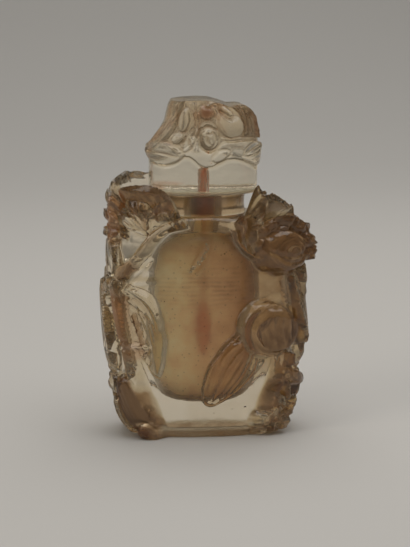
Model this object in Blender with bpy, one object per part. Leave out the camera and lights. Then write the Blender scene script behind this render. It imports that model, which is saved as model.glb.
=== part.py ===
"""Snuff bottle of smoky rock crystal: a hollowed and carved bottle, its carved stopper, cork and spoon.

The origin is the middle of the flat underside. The carved front faces -Y and Z is up.
"""
import math

import bmesh
import bpy
import numpy as np

# Sizes in millimetres, turned into metres when a mesh is made.
MM = 0.001

# The smooth crystal body.
BODY_HALF_WIDTH = 17.8
BODY_HALF_DEPTH = 9.6
FOOT_HALF_WIDTH = 13.6
FOOT_HALF_DEPTH = 7.6
BELT_HEIGHT = 27.0
SHOULDER_HEIGHT = 45.0
PLAN_POWER = 2.8
PROFILE_POWER = 2.6
FOOT_BEVEL = 0.3

# The neck.
NECK_HALF_WIDTH = 9.2
NECK_HALF_DEPTH = 7.4
NECK_RISE = 3.2
NECK_LENGTH = 4.3
LIP_BEVEL = 0.3

# The brown skin that the flowers and leaves are cut in, outside the smooth body.
CARVING_SIDE = 4.6
CARVING_FACE = 2.9
CARVING_RISE = 12.0
CARVING_LEAN = 1.7
CARVING_TOP_HALF_WIDTH = 16.4
CARVING_TOP_HALF_DEPTH = 11.0
CARVING_EDGE = 0.6

# The cavity.
CAVITY_HALF_WIDTH = 11.7
CAVITY_HALF_DEPTH = 5.4
CAVITY_FLOOR = 7.3
CAVITY_HEIGHT = 37.2
CAVITY_POWER = 3.6

# The cork and the spoon, with the room left round them.
CLEARANCE = 0.3
CORK_RADIUS = 2.85
CORK_LENGTH = 4.9
SHAFT_RADIUS = 0.85
SHAFT_IN_STOPPER = 5.2
SHAFT_LENGTH = 29.5
BOWL_LENGTH = 12.0
BOWL_HALF_WIDTH = 1.7
BOWL_THICKNESS = 0.7
BOWL_DISH = 0.45

# The stopper.
STOPPER_HALF_WIDTH = 11.8
STOPPER_HALF_DEPTH = 8.0
STOPPER_HEIGHT = 19.8
STOPPER_BLOCK = 7.6
STOPPER_CUT = 2.2
STOPPER_BLOCK_LEVEL = 0.7
STOPPER_POWER = 2.7

# How finely each piece is cut: columns round it, rows up it, and triangles kept.
SHEET_COLUMNS = 264
SHEET_ROWS = 112
PLAIN_COLUMNS = 44
SHEET_TRIANGLES = 5500
STOPPER_COLUMNS = 132
STOPPER_ROWS = 64
STOPPER_PLAIN_COLUMNS = 22
STOPPER_TRIANGLES = 1700

# Levels that follow from the sizes above.
NECK_BASE = SHOULDER_HEIGHT + NECK_RISE
LIP_HEIGHT = NECK_BASE + NECK_LENGTH
BORE_RADIUS = CORK_RADIUS + CLEARANCE
CARVING_TOP = SHOULDER_HEIGHT + CARVING_RISE
SPAN_TOP = CARVING_TOP + 6.0
STOPPER_BASE = LIP_HEIGHT + CLEARANCE
STOPPER_TOP_SPAN = STOPPER_HALF_DEPTH * 0.9


def ease(x):
    x = np.clip(x, 0, 1)
    return x * x * (3 - 2 * x)


def signed_power(values, power):
    return np.sign(values) * np.abs(values) ** (2.0 / power)


def swell(v, half, foot):
    """Half size of the body at height v, out from the foot to the belt and a little in to the shoulder."""
    reach = BELT_HEIGHT / (1 - (foot / half) ** PROFILE_POWER) ** (1 / PROFILE_POWER)
    drop = np.clip((BELT_HEIGHT - v) / reach, 0, 1)
    under = half * (1 - drop ** PROFILE_POWER) ** (1 / PROFILE_POWER)
    rise = np.clip((v - BELT_HEIGHT) / (SHOULDER_HEIGHT - BELT_HEIGHT), 0, 1)
    return under * (1 - 0.06 * rise ** 2) - FOOT_BEVEL * np.clip(1 - v / FOOT_BEVEL, 0, 1)


def ground(v):
    """Half width, half depth and height of the smooth body where the carving is cut away."""
    body = np.clip(v, 0, SHOULDER_HEIGHT)
    turn = np.clip((v - SHOULDER_HEIGHT) / (SPAN_TOP - SHOULDER_HEIGHT), 0, 1) * math.pi / 2
    out = np.cos(turn) ** 0.8
    width = NECK_HALF_WIDTH + (swell(body, BODY_HALF_WIDTH, FOOT_HALF_WIDTH) - NECK_HALF_WIDTH) * out
    depth = NECK_HALF_DEPTH + (swell(body, BODY_HALF_DEPTH, FOOT_HALF_DEPTH) - NECK_HALF_DEPTH) * out
    return width, depth, body + NECK_RISE * np.sin(turn)


def crest(v):
    """Half width, half depth and height of the skin, up to its top and down again beside the neck."""
    body = np.clip(v, 0, SHOULDER_HEIGHT)
    width = swell(body, BODY_HALF_WIDTH + CARVING_SIDE, FOOT_HALF_WIDTH + CARVING_SIDE * 0.8)
    depth = swell(body, BODY_HALF_DEPTH + CARVING_FACE, FOOT_HALF_DEPTH + CARVING_FACE * 0.8)
    rise = np.clip((v - SHOULDER_HEIGHT) / CARVING_RISE, 0, 1)
    turn = np.clip((v - CARVING_TOP) / (SPAN_TOP - CARVING_TOP), 0, 1)
    width = width - (width - CARVING_TOP_HALF_WIDTH) * rise ** 4
    depth = depth - (depth - CARVING_TOP_HALF_DEPTH) * rise ** 2.2
    width = width - (CARVING_TOP_HALF_WIDTH - NECK_HALF_WIDTH) * turn ** 1.5
    depth = depth - (CARVING_TOP_HALF_DEPTH - NECK_HALF_DEPTH) * turn ** 1.3
    fall = np.sin(turn * math.pi / 2) ** 0.8
    return width, depth, np.minimum(v, CARVING_TOP) - (CARVING_TOP - NECK_BASE) * fall


def girth_table(half_width, half_depth, power):
    """Angles from the middle of the front, and the distance round the plan outline at each."""
    angle = np.linspace(-math.pi / 2, 3 * math.pi / 2, 8001)
    x = half_width * signed_power(np.cos(angle), power)
    y = half_depth * signed_power(np.sin(angle), power)
    return angle, np.concatenate([[0], np.cumsum(np.hypot(np.diff(x), np.diff(y)))])


class Sheet:
    """Height of the carving over a side unrolled flat in millimetres."""

    def __init__(self, u, v, girth, edge):
        self.u, self.v, self.girth, self.edge = u, v, girth, edge
        self.height = np.zeros_like(u)

    def away(self, place):
        """Distances from a place, the short way round and up."""
        du = np.mod(self.u - place[0] + self.girth / 2, self.girth) - self.girth / 2
        return du, self.v - place[1]

    def lay(self, inside, height):
        """Lays a form over what is there; inside is how far each point lies in from its outline."""
        wall = ease(inside / self.edge)
        level = wall * height
        over = (level > self.height) & (inside > 0)
        self.height = np.where(over, level, self.height)


def blade(sheet, base, tip, half, height, end=None, bend=0.0, full=0.8, blunt=0.7, cup=0.0, vein=0.0,
          ribs=0, rib=0.05, wave=0.0, waves=6):
    """A leaf or a petal: full sets where it is widest, blunt how round its ends are, cup lifts its rim."""
    du, dv = sheet.away(base)
    eu = (tip[0] - base[0] + sheet.girth / 2) % sheet.girth - sheet.girth / 2
    ev = tip[1] - base[1]
    length = math.hypot(eu, ev)
    along = (du * eu + dv * ev) / length ** 2
    a = np.clip(along, 0, 1)
    across = (dv * eu - du * ev) / length - bend * 4 * a * (1 - a)
    outline = half * np.sin(math.pi * a ** full) ** blunt * (1 + wave * np.sin(waves * math.pi * a))
    ends = length * (0.5 - np.abs(along - 0.5)) + half * 0.05
    inside = np.minimum(outline - np.abs(across), ends)
    share = np.clip(np.abs(across) / np.maximum(outline, 0.05), 0, 1)
    level = height + ((height if end is None else end) - height) * a + cup * share ** 2.5
    level = level - vein * np.exp(-(across / 0.28) ** 2)
    if ribs:
        level = level - rib * (0.5 + 0.5 * np.cos(2 * math.pi * ribs * (a - 0.35 * share)))
    sheet.lay(inside, level)


def dome(sheet, centre, half_u, half_v, height, drop=0.25, rings=0, ring=0.05):
    """A bud: an oval dome with arcs cut round it."""
    du, dv = sheet.away(centre)
    reach = np.hypot(du / half_u, dv / half_v)
    level = height - drop * reach ** 2
    if rings:
        level = level - ring * (0.5 + 0.5 * np.cos(2 * math.pi * rings * reach ** 1.3))
    sheet.lay((1 - reach) * min(half_u, half_v), level)


def stem(sheet, places, half, height, end=None):
    """A round stem along a smooth curve through the places."""
    places = np.array(places, float)
    whole = np.vstack([2 * places[0] - places[1], places, 2 * places[-1] - places[-2]])
    line = []
    for k in range(len(places) - 1):
        p0, p1, p2, p3 = whole[k:k + 4]
        for t in np.arange(8) / 8:
            line.append(0.5 * (2 * p1 + (p2 - p0) * t + (2 * p0 - 5 * p1 + 4 * p2 - p3) * t * t
                               + (3 * p1 - p0 - 3 * p2 + p3) * t ** 3))
    line.append(places[-1])
    nearest = np.full_like(sheet.u, 99.0)
    share = np.zeros_like(sheet.u)
    for k in range(len(line) - 1):
        du, dv = sheet.away(line[k])
        step = line[k + 1] - line[k]
        t = np.clip((du * step[0] + dv * step[1]) / (step @ step), 0, 1)
        gap = np.hypot(du - t * step[0], dv - t * step[1])
        closer = gap < nearest
        nearest = np.where(closer, gap, nearest)
        share = np.where(closer, (k + t) / (len(line) - 1), share)
    rounding = np.sqrt(np.clip(1 - (nearest / half) ** 2, 0, 1))
    level = (height + ((height if end is None else end) - height) * share) * (0.75 + 0.25 * rounding)
    sheet.lay(half - nearest, level)


def blossom(sheet, centre, petals, bud):
    """A flower: petals given by their tips, half widths and heights, laid round a folded bud."""
    for tip, half, height, end in petals:
        blade(sheet, centre, tip, half, height, end, full=2.0, blunt=0.4, cup=0.08, vein=0.03)
    half_u, half_v, height = bud
    dome(sheet, centre, half_u, half_v, height, drop=0.2, rings=2, ring=0.08)


def sill(sheet, start, width, height):
    """The ground rises from the clear window at the front and back to the carved ends."""
    quarter = sheet.girth / 4
    from_end = np.abs(np.mod(np.abs(sheet.u), 2 * quarter) - quarter)
    sheet.height = height * ease((quarter - from_end - start) / width) * ease((CARVING_TOP - sheet.v) / 9.0)


def carve_front(sheet):
    """The side that the photo shows."""
    # Clear leaves at the left end, seen in outline.
    blade(sheet, (-23.7, 14.3), (-30.0, 35.0), 2.4, 0.85, end=1.04, full=0.9, vein=0.05)
    blade(sheet, (-21.5, 34.0), (-29.5, 45.0), 2.6, 0.8, end=0.9, full=1.1, blunt=0.5, vein=0.05)
    # The fan flower at the upper left: a clear petal, a brown one above it and a rounded one by the neck.
    blade(sheet, (-14.4, 44.4), (-22.8, 51.2), 3.4, 0.56, end=0.8, bend=-0.9, full=1.3, blunt=0.45)
    blade(sheet, (-14.2, 44.6), (-20.6, 55.6), 3.0, 0.62, end=0.84, bend=-0.5, full=1.7, blunt=0.4)
    blade(sheet, (-13.7, 44.2), (-11.4, 55.4), 3.4, 0.6, end=0.7, bend=-0.2, full=1.5, blunt=0.42)
    dome(sheet, (-11.5, 50.1), 2.1, 1.9, 0.72, drop=0.12)
    blade(sheet, (-8.4, 53.0), (-25.5, 53.6), 1.4, 0.86, end=0.98, bend=-1.9, full=0.9, blunt=0.5)
    stem(sheet, [(-22.6, 50.4), (-19.7, 50.4), (-16.7, 48.4), (-14.2, 44.7)], 0.5, 0.9)
    stem(sheet, [(-14.3, 44.7), (-14.5, 48.6), (-13.6, 52.2), (-11.9, 53.6), (-9.6, 53.2), (-7.9, 51.2),
                 (-8.2, 48.7)], 0.5, 0.88, end=0.82)
    blade(sheet, (-24.0, 42.6), (-29.0, 55.6), 2.6, 0.94, end=1.02, full=1.0, blunt=0.5, wave=0.3, waves=7,
          vein=0.05)
    for base, tip in (((-26.4, 51.0), (-31.6, 53.2)), ((-26.4, 47.6), (-31.6, 48.8)),
                      ((-26.4, 44.6), (-31.0, 44.4))):
        blade(sheet, base, tip, 1.5, 0.98, end=1.16, full=0.8, blunt=0.8, vein=0.1)
    stem(sheet, [(-21.2, 43.7), (-22.3, 48.9), (-23.4, 53.3)], 0.45, 0.98)
    # The branch from the neck down to the node on the left.
    stem(sheet, [(-6.4, 48.9), (-9.8, 47.1), (-13.8, 44.0), (-17.1, 40.0), (-22.6, 33.9)], 1.2, 0.8)
    blade(sheet, (-18.0, 39.0), (-22.9, 33.8), 1.6, 0.86, end=0.95, full=0.9, blunt=0.6)
    # Small clear leaves from the node.
    blade(sheet, (-22.0, 34.0), (-14.2, 39.5), 2.4, 0.4, end=0.2, bend=1.1, full=0.8, vein=0.08)
    blade(sheet, (-22.0, 33.6), (-12.5, 34.9), 1.1, 0.35, end=0.12, vein=0.06)
    # The long hanging leaf on the left, its two folded edges, and a twig over it.
    blade(sheet, (-22.8, 32.8), (-12.9, 13.9), 4.3, 0.46, end=0.3, bend=2.8, full=0.95, blunt=0.55,
          cup=0.12, vein=0.06, wave=0.05, waves=9)
    blade(sheet, (-22.6, 33.1), (-11.8, 22.3), 1.7, 0.64, end=0.46, bend=3.0, full=0.9, blunt=0.5, cup=0.1,
          vein=0.1)
    blade(sheet, (-20.9, 30.6), (-12.8, 25.3), 1.1, 0.58, end=0.46, bend=1.5, full=0.9, blunt=0.5, cup=0.12)
    stem(sheet, [(-18.1, 27.3), (-17.2, 24.8), (-16.0, 21.1)], 0.5, 0.78, end=0.6)
    # The stem, the knot and the pod at the lower left.
    stem(sheet, [(-22.0, 34.2), (-21.2, 29.5), (-19.9, 24.2), (-18.6, 19.5), (-17.9, 15.2), (-17.0, 10.8)],
         1.3, 0.98)
    blade(sheet, (-20.6, 21.5), (-13.1, 20.4), 0.9, 0.72, end=0.4, bend=-0.4, full=0.8)
    dome(sheet, (-24.2, 11.6), 2.4, 2.4, 1.0, drop=0.2)
    dome(sheet, (-20.4, 13.0), 1.6, 1.8, 1.06, drop=0.3)
    blade(sheet, (-20.3, 13.6), (-14.4, -0.6), 3.8, 1.05, end=1.25, bend=-0.6, full=0.95, blunt=0.45,
          cup=-0.2)
    blade(sheet, (-22.4, 10.4), (-20.4, 0.3), 1.5, 1.08, end=1.14, bend=-0.8, full=0.9, vein=0.08)
    dome(sheet, (-15.6, 1.3), 3.0, 2.4, 1.38, drop=0.25)
    # The clear leaf and the strips to the right of the neck.
    blade(sheet, (13.4, 54.4), (19.8, 49.4), 1.7, 1.0, bend=0.3, full=0.9, blunt=0.45, vein=0.04)
    stem(sheet, [(7.8, 45.8), (8.4, 42.9), (10.8, 40.5), (14.3, 38.6)], 0.45, 0.5, end=0.6)
    blade(sheet, (9.4, 42.2), (10.2, 52.6), 1.0, 0.5, end=0.62, full=1.1, blunt=0.5, vein=0.16)
    blade(sheet, (12.0, 40.0), (16.1, 57.3), 1.3, 0.6, end=0.92, bend=0.9, full=1.0, blunt=0.45, cup=0.12)
    # The blossom at the upper right, its petals cupped round a bowl of folded ones.
    dome(sheet, (25.0, 41.4), 3.2, 3.7, 1.3, drop=0.4)
    blossom(sheet, (17.7, 42.9), [
        ((27.2, 40.0), 3.2, 0.95, 1.14),
        ((27.0, 44.2), 2.9, 0.9, 1.08),
        ((23.2, 48.0), 2.9, 0.85, 0.9),
        ((17.6, 49.4), 3.1, 0.8, 0.9),
        ((13.4, 46.8), 2.6, 0.75, 0.82),
        ((12.2, 41.0), 2.6, 0.78, 0.84),
        ((14.1, 37.2), 2.9, 0.85, 0.88),
        ((19.5, 35.8), 3.3, 0.9, 0.96),
    ], (3.4, 3.6, 1.04))
    dome(sheet, (18.2, 40.7), 5.6, 4.5, 1.14, drop=0.22)
    # Stems and leaves down the right edge.
    blade(sheet, (19.6, 37.0), (26.3, 19.0), 2.0, 0.8, end=0.9, bend=-0.4, full=1.0, blunt=0.5, vein=0.08)
    blade(sheet, (19.9, 37.0), (21.6, 28.9), 1.5, 0.7, end=0.78, full=1.0, vein=0.1)
    # The hanging leaf with its ribs, and the round flower in its ring at the lower right.
    blade(sheet, (13.4, 20.7), (-0.4, 8.0), 5.0, 0.55, end=0.42, bend=-0.9, full=0.85, blunt=0.45, cup=0.12)
    for rib_line in ([(7.9, 22.9), (3.1, 18.5), (0.1, 10.1)], [(9.4, 20.9), (5.4, 16.0), (1.4, 8.4)],
                     [(10.9, 19.3), (8.4, 13.9), (4.0, 8.6)]):
        stem(sheet, rib_line, 0.45, 0.7, end=0.52)
    dome(sheet, (14.5, 23.8), 6.7, 6.3, 0.84, drop=0.14)
    dome(sheet, (15.0, 23.7), 5.2, 5.0, 0.94, drop=0.1)
    dome(sheet, (15.6, 23.2), 3.7, 3.9, 0.99, drop=0.08)
    dome(sheet, (16.0, 23.0), 2.0, 3.0, 1.03, drop=0.1)
    # Stems, a leaf tip and the small flower at the lower right.
    stem(sheet, [(18.3, 18.4), (17.6, 12.7), (16.4, 7.8), (15.9, 1.9)], 1.1, 0.82)
    stem(sheet, [(19.6, 18.2), (19.1, 11.6), (21.4, 4.9)], 0.8, 0.86)
    blade(sheet, (17.6, 15.4), (26.0, 11.1), 1.9, 0.88, end=0.84, bend=-0.4, full=1.2, blunt=0.5)
    blade(sheet, (19.1, 2.5), (17.4, 10.0), 1.7, 0.84, end=0.88, full=1.0, blunt=0.5, vein=0.1)
    blade(sheet, (20.8, 1.4), (22.2, 9.4), 1.9, 0.85, end=0.9, full=1.0, vein=0.08)
    blossom(sheet, (18.3, 3.8), [(tip, 1.7, 0.88, 0.92) for tip in
                                 ((18.2, 0.4), (13.8, 4.0), (16.3, 6.6), (22.7, 5.2), (23.4, 1.4))],
            (1.3, 1.1, 1.0))


def carve_back(sheet):
    """The hidden side, in keeping with the front but plainer."""
    middle = sheet.girth / 2
    # The highest clear leaf, standing behind the fan flower.
    blade(sheet, (-28.0, 52.8), (13.0 - middle, 56.6), 3.2, 1.1, end=0.84, bend=-1.0, full=0.9, blunt=0.4,
          ribs=3, rib=0.04)
    for side in (1, -1):
        place = lambda u, v: (middle + side * u, v)
        stem(sheet, [place(22, 6), place(19, 18), place(20, 30), place(16, 40)], 1.1, 0.8)
        blade(sheet, place(20, 30), place(9, 22), 2.6, 0.5, end=0.35, bend=side * 0.8, full=0.9, vein=0.08,
              ribs=3)
        blade(sheet, place(20, 17), place(10, 9), 2.6, 0.6, end=0.4, bend=-side * 0.8, full=0.9, vein=0.08,
              ribs=3)
        blade(sheet, place(27, 31), place(26, 15), 2.4, 0.85, full=1.0, vein=0.08, ribs=3)
        petals = [(place(17 + 6.2 * math.cos(k * math.tau / 6), 43 + 5.6 * math.sin(k * math.tau / 6)),
                   2.9, 0.74, 0.86) for k in range(6)]
        blossom(sheet, place(17, 43), petals, (3.0, 2.7, 0.98))
        dome(sheet, place(21.5, 6.5), 3.4, 4.0, 0.95, drop=0.2, rings=2)


def carve_ends(sheet):
    """The narrow ends: a stem with leaves, a bud and a small flower on each."""
    quarter = sheet.girth / 4
    for side in (1, -1):
        place = lambda u, v: (side * (quarter + u), v)
        stem(sheet, [place(1.5, 3), place(3.5, 14), place(1.0, 26), place(2.5, 40)], 1.0, 0.8)
        blade(sheet, place(2.0, 27), place(-3.6, 38), 2.3, 0.72, end=0.84, bend=side * 0.6, full=0.9,
              vein=0.08, ribs=3)
        blade(sheet, place(3.0, 13), place(-3.4, 25), 2.2, 0.7, end=0.82, bend=side * 0.6, full=0.9,
              vein=0.08, ribs=3)
        blade(sheet, place(2.5, 22), place(6.5, 10), 2.0, 0.7, end=0.78, bend=-side * 0.5, full=0.9,
              vein=0.08, ribs=3)
        blade(sheet, place(1.5, 5), place(-3.0, 13), 2.2, 0.72, end=0.84, full=1.0, vein=0.08, ribs=2)
        dome(sheet, place(2.6, 40), 3.0, 3.4, 0.82, drop=0.2, rings=2)
        dome(sheet, place(2.5, 4.5), 2.6, 3.0, 0.9, drop=0.2, rings=1)
        blade(sheet, place(3.4, 42), place(0.5, 52), 2.6, 0.62, end=0.6, full=1.2, blunt=0.5, vein=0.06,
              ribs=2)


def carve_stopper(sheet):
    """The stopper: a smooth block below, and a draped rim over it.

    The drape carries lobes, a hanging drop, a boss with an eye, a leaf and ribs.
    """
    # The wavy lower edge of the drape, from the middle of the back round to it again.
    edge_u = [-29, -26, -23, -20, -17, -14, -12, -9.9, -8.3, -6.8, -5.1, -3.4, -2.3, -1.4,
              -0.1, 1.4, 2.9, 4.7, 6.2, 7.9, 9.6, 12, 14, 17, 20, 23, 26, 29]
    edge_v = [7.4, 6.2, 7.5, 6.2, 7.4, 6.9, 6.8, 6.5, 6.7, 7.4, 8.1, 8.0, 7.2, 6.3,
              5.7, 5.9, 6.6, 7.4, 7.5, 7.1, 6.4, 5.4, 5.6, 7.2, 6.0, 7.3, 6.0, 7.4]
    border = np.interp(sheet.u, edge_u, edge_v, period=sheet.girth)
    low = ease((sheet.v - border) / 0.5)
    sheet.height = STOPPER_BLOCK_LEVEL + (0.42 - STOPPER_BLOCK_LEVEL) * low
    # The smooth drape above the edge, up to the ledge under the boss and round the hanging drop.
    ledge_u = [-29, -14, -6, -3.4, -2.6, -1.7, -1.0, 0.8, 2.3, 3.3, 4.4, 10.5, 13, 16, 29]
    ledge_v = [11.0, 9.0, 9.0, 11.0, 12.6, 12.0, 10.2, 9.3, 9.9, 11.2, 12.0, 12.3, 12.0, 10.5, 11.0]
    ledge = np.interp(sheet.u, ledge_u, ledge_v, period=sheet.girth)
    sheet.lay(np.minimum(sheet.v - border, ledge - sheet.v), 0.9)
    # The left side: a broad lobe that bulges at the edge, one above it and a rounded petal.
    blade(sheet, (-4.6, 8.6), (-14.6, 10.4), 2.9, 0.98, end=1.1, bend=0.4, full=1.1, blunt=0.45, cup=0.06)
    blade(sheet, (-8.2, 16.8), (-13.0, 9.6), 2.3, 0.86, end=1.04, bend=-0.6, full=1.1, blunt=0.5)
    dome(sheet, (-6.5, 12.3), 1.7, 1.6, 0.98, drop=0.2)
    blade(sheet, (-6.9, 13.0), (-5.4, 20.2), 2.1, 0.96, end=0.9, full=1.0, blunt=0.4, cup=0.1)
    blade(sheet, (-9.6, 15.6), (-7.6, 20.6), 1.2, 0.9, end=0.86, full=1.1, blunt=0.5, vein=0.2)
    blade(sheet, (-4.6, 9.2), (-2.0, 14.6), 1.3, 0.76, end=0.84, full=0.9, blunt=0.5)
    # Two brown curls and the stained hollow over the drop.
    dome(sheet, (0.4, 17.4), 2.5, 1.7, 0.6, drop=0.1)
    stem(sheet, [(-3.2, 17.4), (-2.6, 15.4), (-3.1, 13.0)], 0.5, 0.84)
    stem(sheet, [(-1.9, 17.0), (-1.4, 15.0), (-2.1, 12.9)], 0.5, 0.82)
    # The hanging drop with a lip across its top.
    dome(sheet, (0.8, 12.4), 2.2, 3.2, 1.02, drop=0.1)
    dome(sheet, (0.6, 12.0), 1.5, 2.2, 1.1, drop=0.1)
    stem(sheet, [(-1.2, 14.4), (0.5, 15.3), (2.4, 14.6)], 0.5, 1.02)
    # The boss, its eye and the brow over it.
    dome(sheet, (5.6, 15.7), 2.9, 2.9, 1.06, drop=0.26)
    dome(sheet, (5.4, 18.6), 1.5, 1.4, 1.0, drop=0.2, rings=1, ring=0.24)
    stem(sheet, [(0.6, 18.9), (3.6, 20.0), (7.8, 19.9), (9.4, 18.2)], 0.5, 0.92)
    # Ribs at the right end and the leaf below them.
    for u in (8.7, 9.8, 10.9, 12.2, 13.6):
        stem(sheet, [(u, 19.6), (u + 0.4, 16.4), (u, 13.2)], 0.42, 0.96)
    blade(sheet, (8.0, 8.4), (13.6, 11.8), 1.5, 1.02, end=1.04, full=1.0, blunt=0.5, vein=0.2)
    blade(sheet, (1.4, 7.2), (4.8, 9.6), 1.2, 1.0, end=1.02, full=1.0, blunt=0.4)
    # The hidden side: two plain lobes and a leaf between them.
    middle = sheet.girth / 2
    for side in (1, -1):
        dome(sheet, (middle + side * 7.0, 15.0), 4.2, 4.2, 1.0, drop=0.25)
        blade(sheet, (middle + side * 4.5, 9.0), (middle + side * 11.5, 11.0), 1.6, 0.98, full=1.0,
              vein=0.15)
    blade(sheet, (middle, 9.4), (middle, 20.0), 2.2, 0.95, end=0.9, vein=0.15)


def sheet_points(u, v, height, table):
    """Points of the carved side, between the smooth body and the skin."""
    angle = np.interp(np.mod(u, table[1][-1]), table[1], table[0])
    low, high = ground(v), crest(v)
    width, depth, level = [a + (b - a) * height for a, b in zip(low, high)]
    near_neck = ease((v - SHOULDER_HEIGHT) / (SPAN_TOP - SHOULDER_HEIGHT))
    power = PLAN_POWER + (2.0 - PLAN_POWER) * near_neck
    # The carving stands further out at the right end.
    width = width + CARVING_LEAN * height * ease(np.cos(angle) * 1.4) * (1 - near_neck)
    return np.stack([width * signed_power(np.cos(angle), power),
                     depth * signed_power(np.sin(angle), power), level], axis=-1)


def stopper_points(u, v, height, table):
    """Points of the stopper's side and top; v runs up the side and on to the middle of the top."""
    angle = np.interp(np.mod(u, table[1][-1]), table[1], table[0])
    side = np.minimum(v, STOPPER_HEIGHT)
    # The left edge bulges out above the block and then leans in; the right edge stays full.
    share = side / STOPPER_HEIGHT
    left = np.interp(share, [0, 0.36, 0.46, 0.54, 0.66, 0.78, 0.95, 1.0],
                     [0.98, 0.98, 1.01, 0.98, 0.86, 0.75, 0.68, 0.67])
    right = np.interp(share, [0, 0.26, 0.40, 0.60, 0.76, 0.90, 0.97, 1.0],
                      [0.99, 0.99, 1.02, 1.05, 1.04, 0.98, 0.88, 0.78])
    deep = np.interp(share, [0, 0.4, 0.7, 1.0], [1.0, 0.98, 0.92, 0.74])
    bevel = FOOT_BEVEL * np.clip(1 - v / FOOT_BEVEL, 0, 1)
    cut = STOPPER_CUT * (STOPPER_BLOCK_LEVEL - height)
    toward_right = 0.5 + 0.5 * np.tanh(3.0 * np.cos(angle))
    width = STOPPER_HALF_WIDTH * (left + (right - left) * toward_right) - cut - bevel
    depth = STOPPER_HALF_DEPTH * deep - cut - bevel
    over = np.clip((v - STOPPER_HEIGHT) / STOPPER_TOP_SPAN, 0, 1)
    inward = (1 - over) * (1 - 0.05 * ease((v - STOPPER_HEIGHT + 1.2) / 1.2))
    x = width * inward * signed_power(np.cos(angle), STOPPER_POWER)
    y = depth * inward * signed_power(np.sin(angle), STOPPER_POWER)
    # The top is highest left of the middle, dips right of it and ends in a low lump.
    fall = np.interp(x, [-10, -7, -4, -1, 1.5, 3.5, 5.4, 7.2, 9.2, 11, 12.5],
                     [0.5, 0.25, 0.1, 0.0, 0.15, 0.7, 1.35, 1.15, 1.2, 1.7, 2.3])
    level = side - fall * ease((side - STOPPER_BLOCK) / 8)
    return np.stack([x, y, STOPPER_BASE + level], axis=-1)


def ring_points(radius_x, radius_y, level, columns, power=2.0, middle=(0.0, 0.0)):
    angle = -math.pi / 2 + np.arange(columns) * math.tau / columns
    return [(middle[0] + radius_x * x, middle[1] + radius_y * y, level)
            for x, y in zip(signed_power(np.cos(angle), power), signed_power(np.sin(angle), power))]


class Shell:
    """A closed mesh made ring by ring; the next ring may have fewer points, by a whole factor."""

    def __init__(self):
        self.mesh = bmesh.new()
        self.last = None

    def ring(self, points):
        new = [self.mesh.verts.new([c * MM for c in p]) for p in points]
        old = self.last
        if old is not None:
            if len(old) >= len(new):
                self.join(old, new, False)
            else:
                self.join(new, old, True)
        self.last = new
        return new

    def join(self, many, few, turned):
        step = len(many) // len(few)
        for k in range(len(few)):
            after = (k + 1) % len(few)
            for j in range(step):
                i = k * step + j
                near = few[k if j < (step + 1) // 2 else after]
                self.face(many[i], many[(i + 1) % len(many)], near, turned)
            i = (k * step + (step + 1) // 2) % len(many)
            self.face(many[i], few[after], few[k], turned)

    def face(self, a, b, c, turned):
        self.mesh.faces.new((a, c, b) if turned else (a, b, c))

    def close(self, point, turned):
        """Ends the shell in a fan round one point."""
        tip = self.mesh.verts.new([c * MM for c in point])
        for k in range(len(self.last)):
            self.face(self.last[k], self.last[(k + 1) % len(self.last)], tip, turned)

    def start(self, point, points):
        first = self.ring(points)
        self.close(point, True)
        self.last = first

    def finish(self, name, colour, free=(), keep=0, floor=0.0):
        """Makes the object; its free vertices are thinned until keep triangles are left in all."""
        bmesh.ops.recalc_face_normals(self.mesh, faces=self.mesh.faces)
        data = bpy.data.meshes.new(name)
        self.mesh.to_mesh(data)
        self.mesh.free()
        piece = bpy.data.objects.new(name, data)
        bpy.context.scene.collection.objects.link(piece)
        if keep:
            thin(piece, free, keep, floor * MM)
        material = bpy.data.materials.new(name)
        material.use_nodes = True
        material.node_tree.nodes["Principled BSDF"].inputs["Base Color"].default_value = (*colour, 1.0)
        piece.data.materials.append(material)
        piece.data.shade_smooth()
        piece.data.set_sharp_from_angle(angle=math.radians(35))
        return piece


def thin(piece, free, keep, floor):
    """Thins the carving to the triangles it needs; the plain rings stay and the underside stays flat."""
    group = piece.vertex_groups.new(name="carved")
    group.add(free, 1.0, "REPLACE")
    triangles = len(piece.data.polygons)
    modifier = piece.modifiers.new("thin", "DECIMATE")
    modifier.ratio = keep / triangles
    modifier.use_collapse_triangulate = True
    modifier.vertex_group = "carved"
    modifier.vertex_group_factor = 100.0
    depsgraph = bpy.context.evaluated_depsgraph_get()
    data = bpy.data.meshes.new_from_object(piece.evaluated_get(depsgraph))
    piece.modifiers.clear()
    piece.vertex_groups.clear()
    for vertex in data.vertices:
        if vertex.co.z < floor + FOOT_BEVEL * 0.5 * MM:
            vertex.co.z = floor
    data.name = piece.name
    piece.data = data


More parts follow.
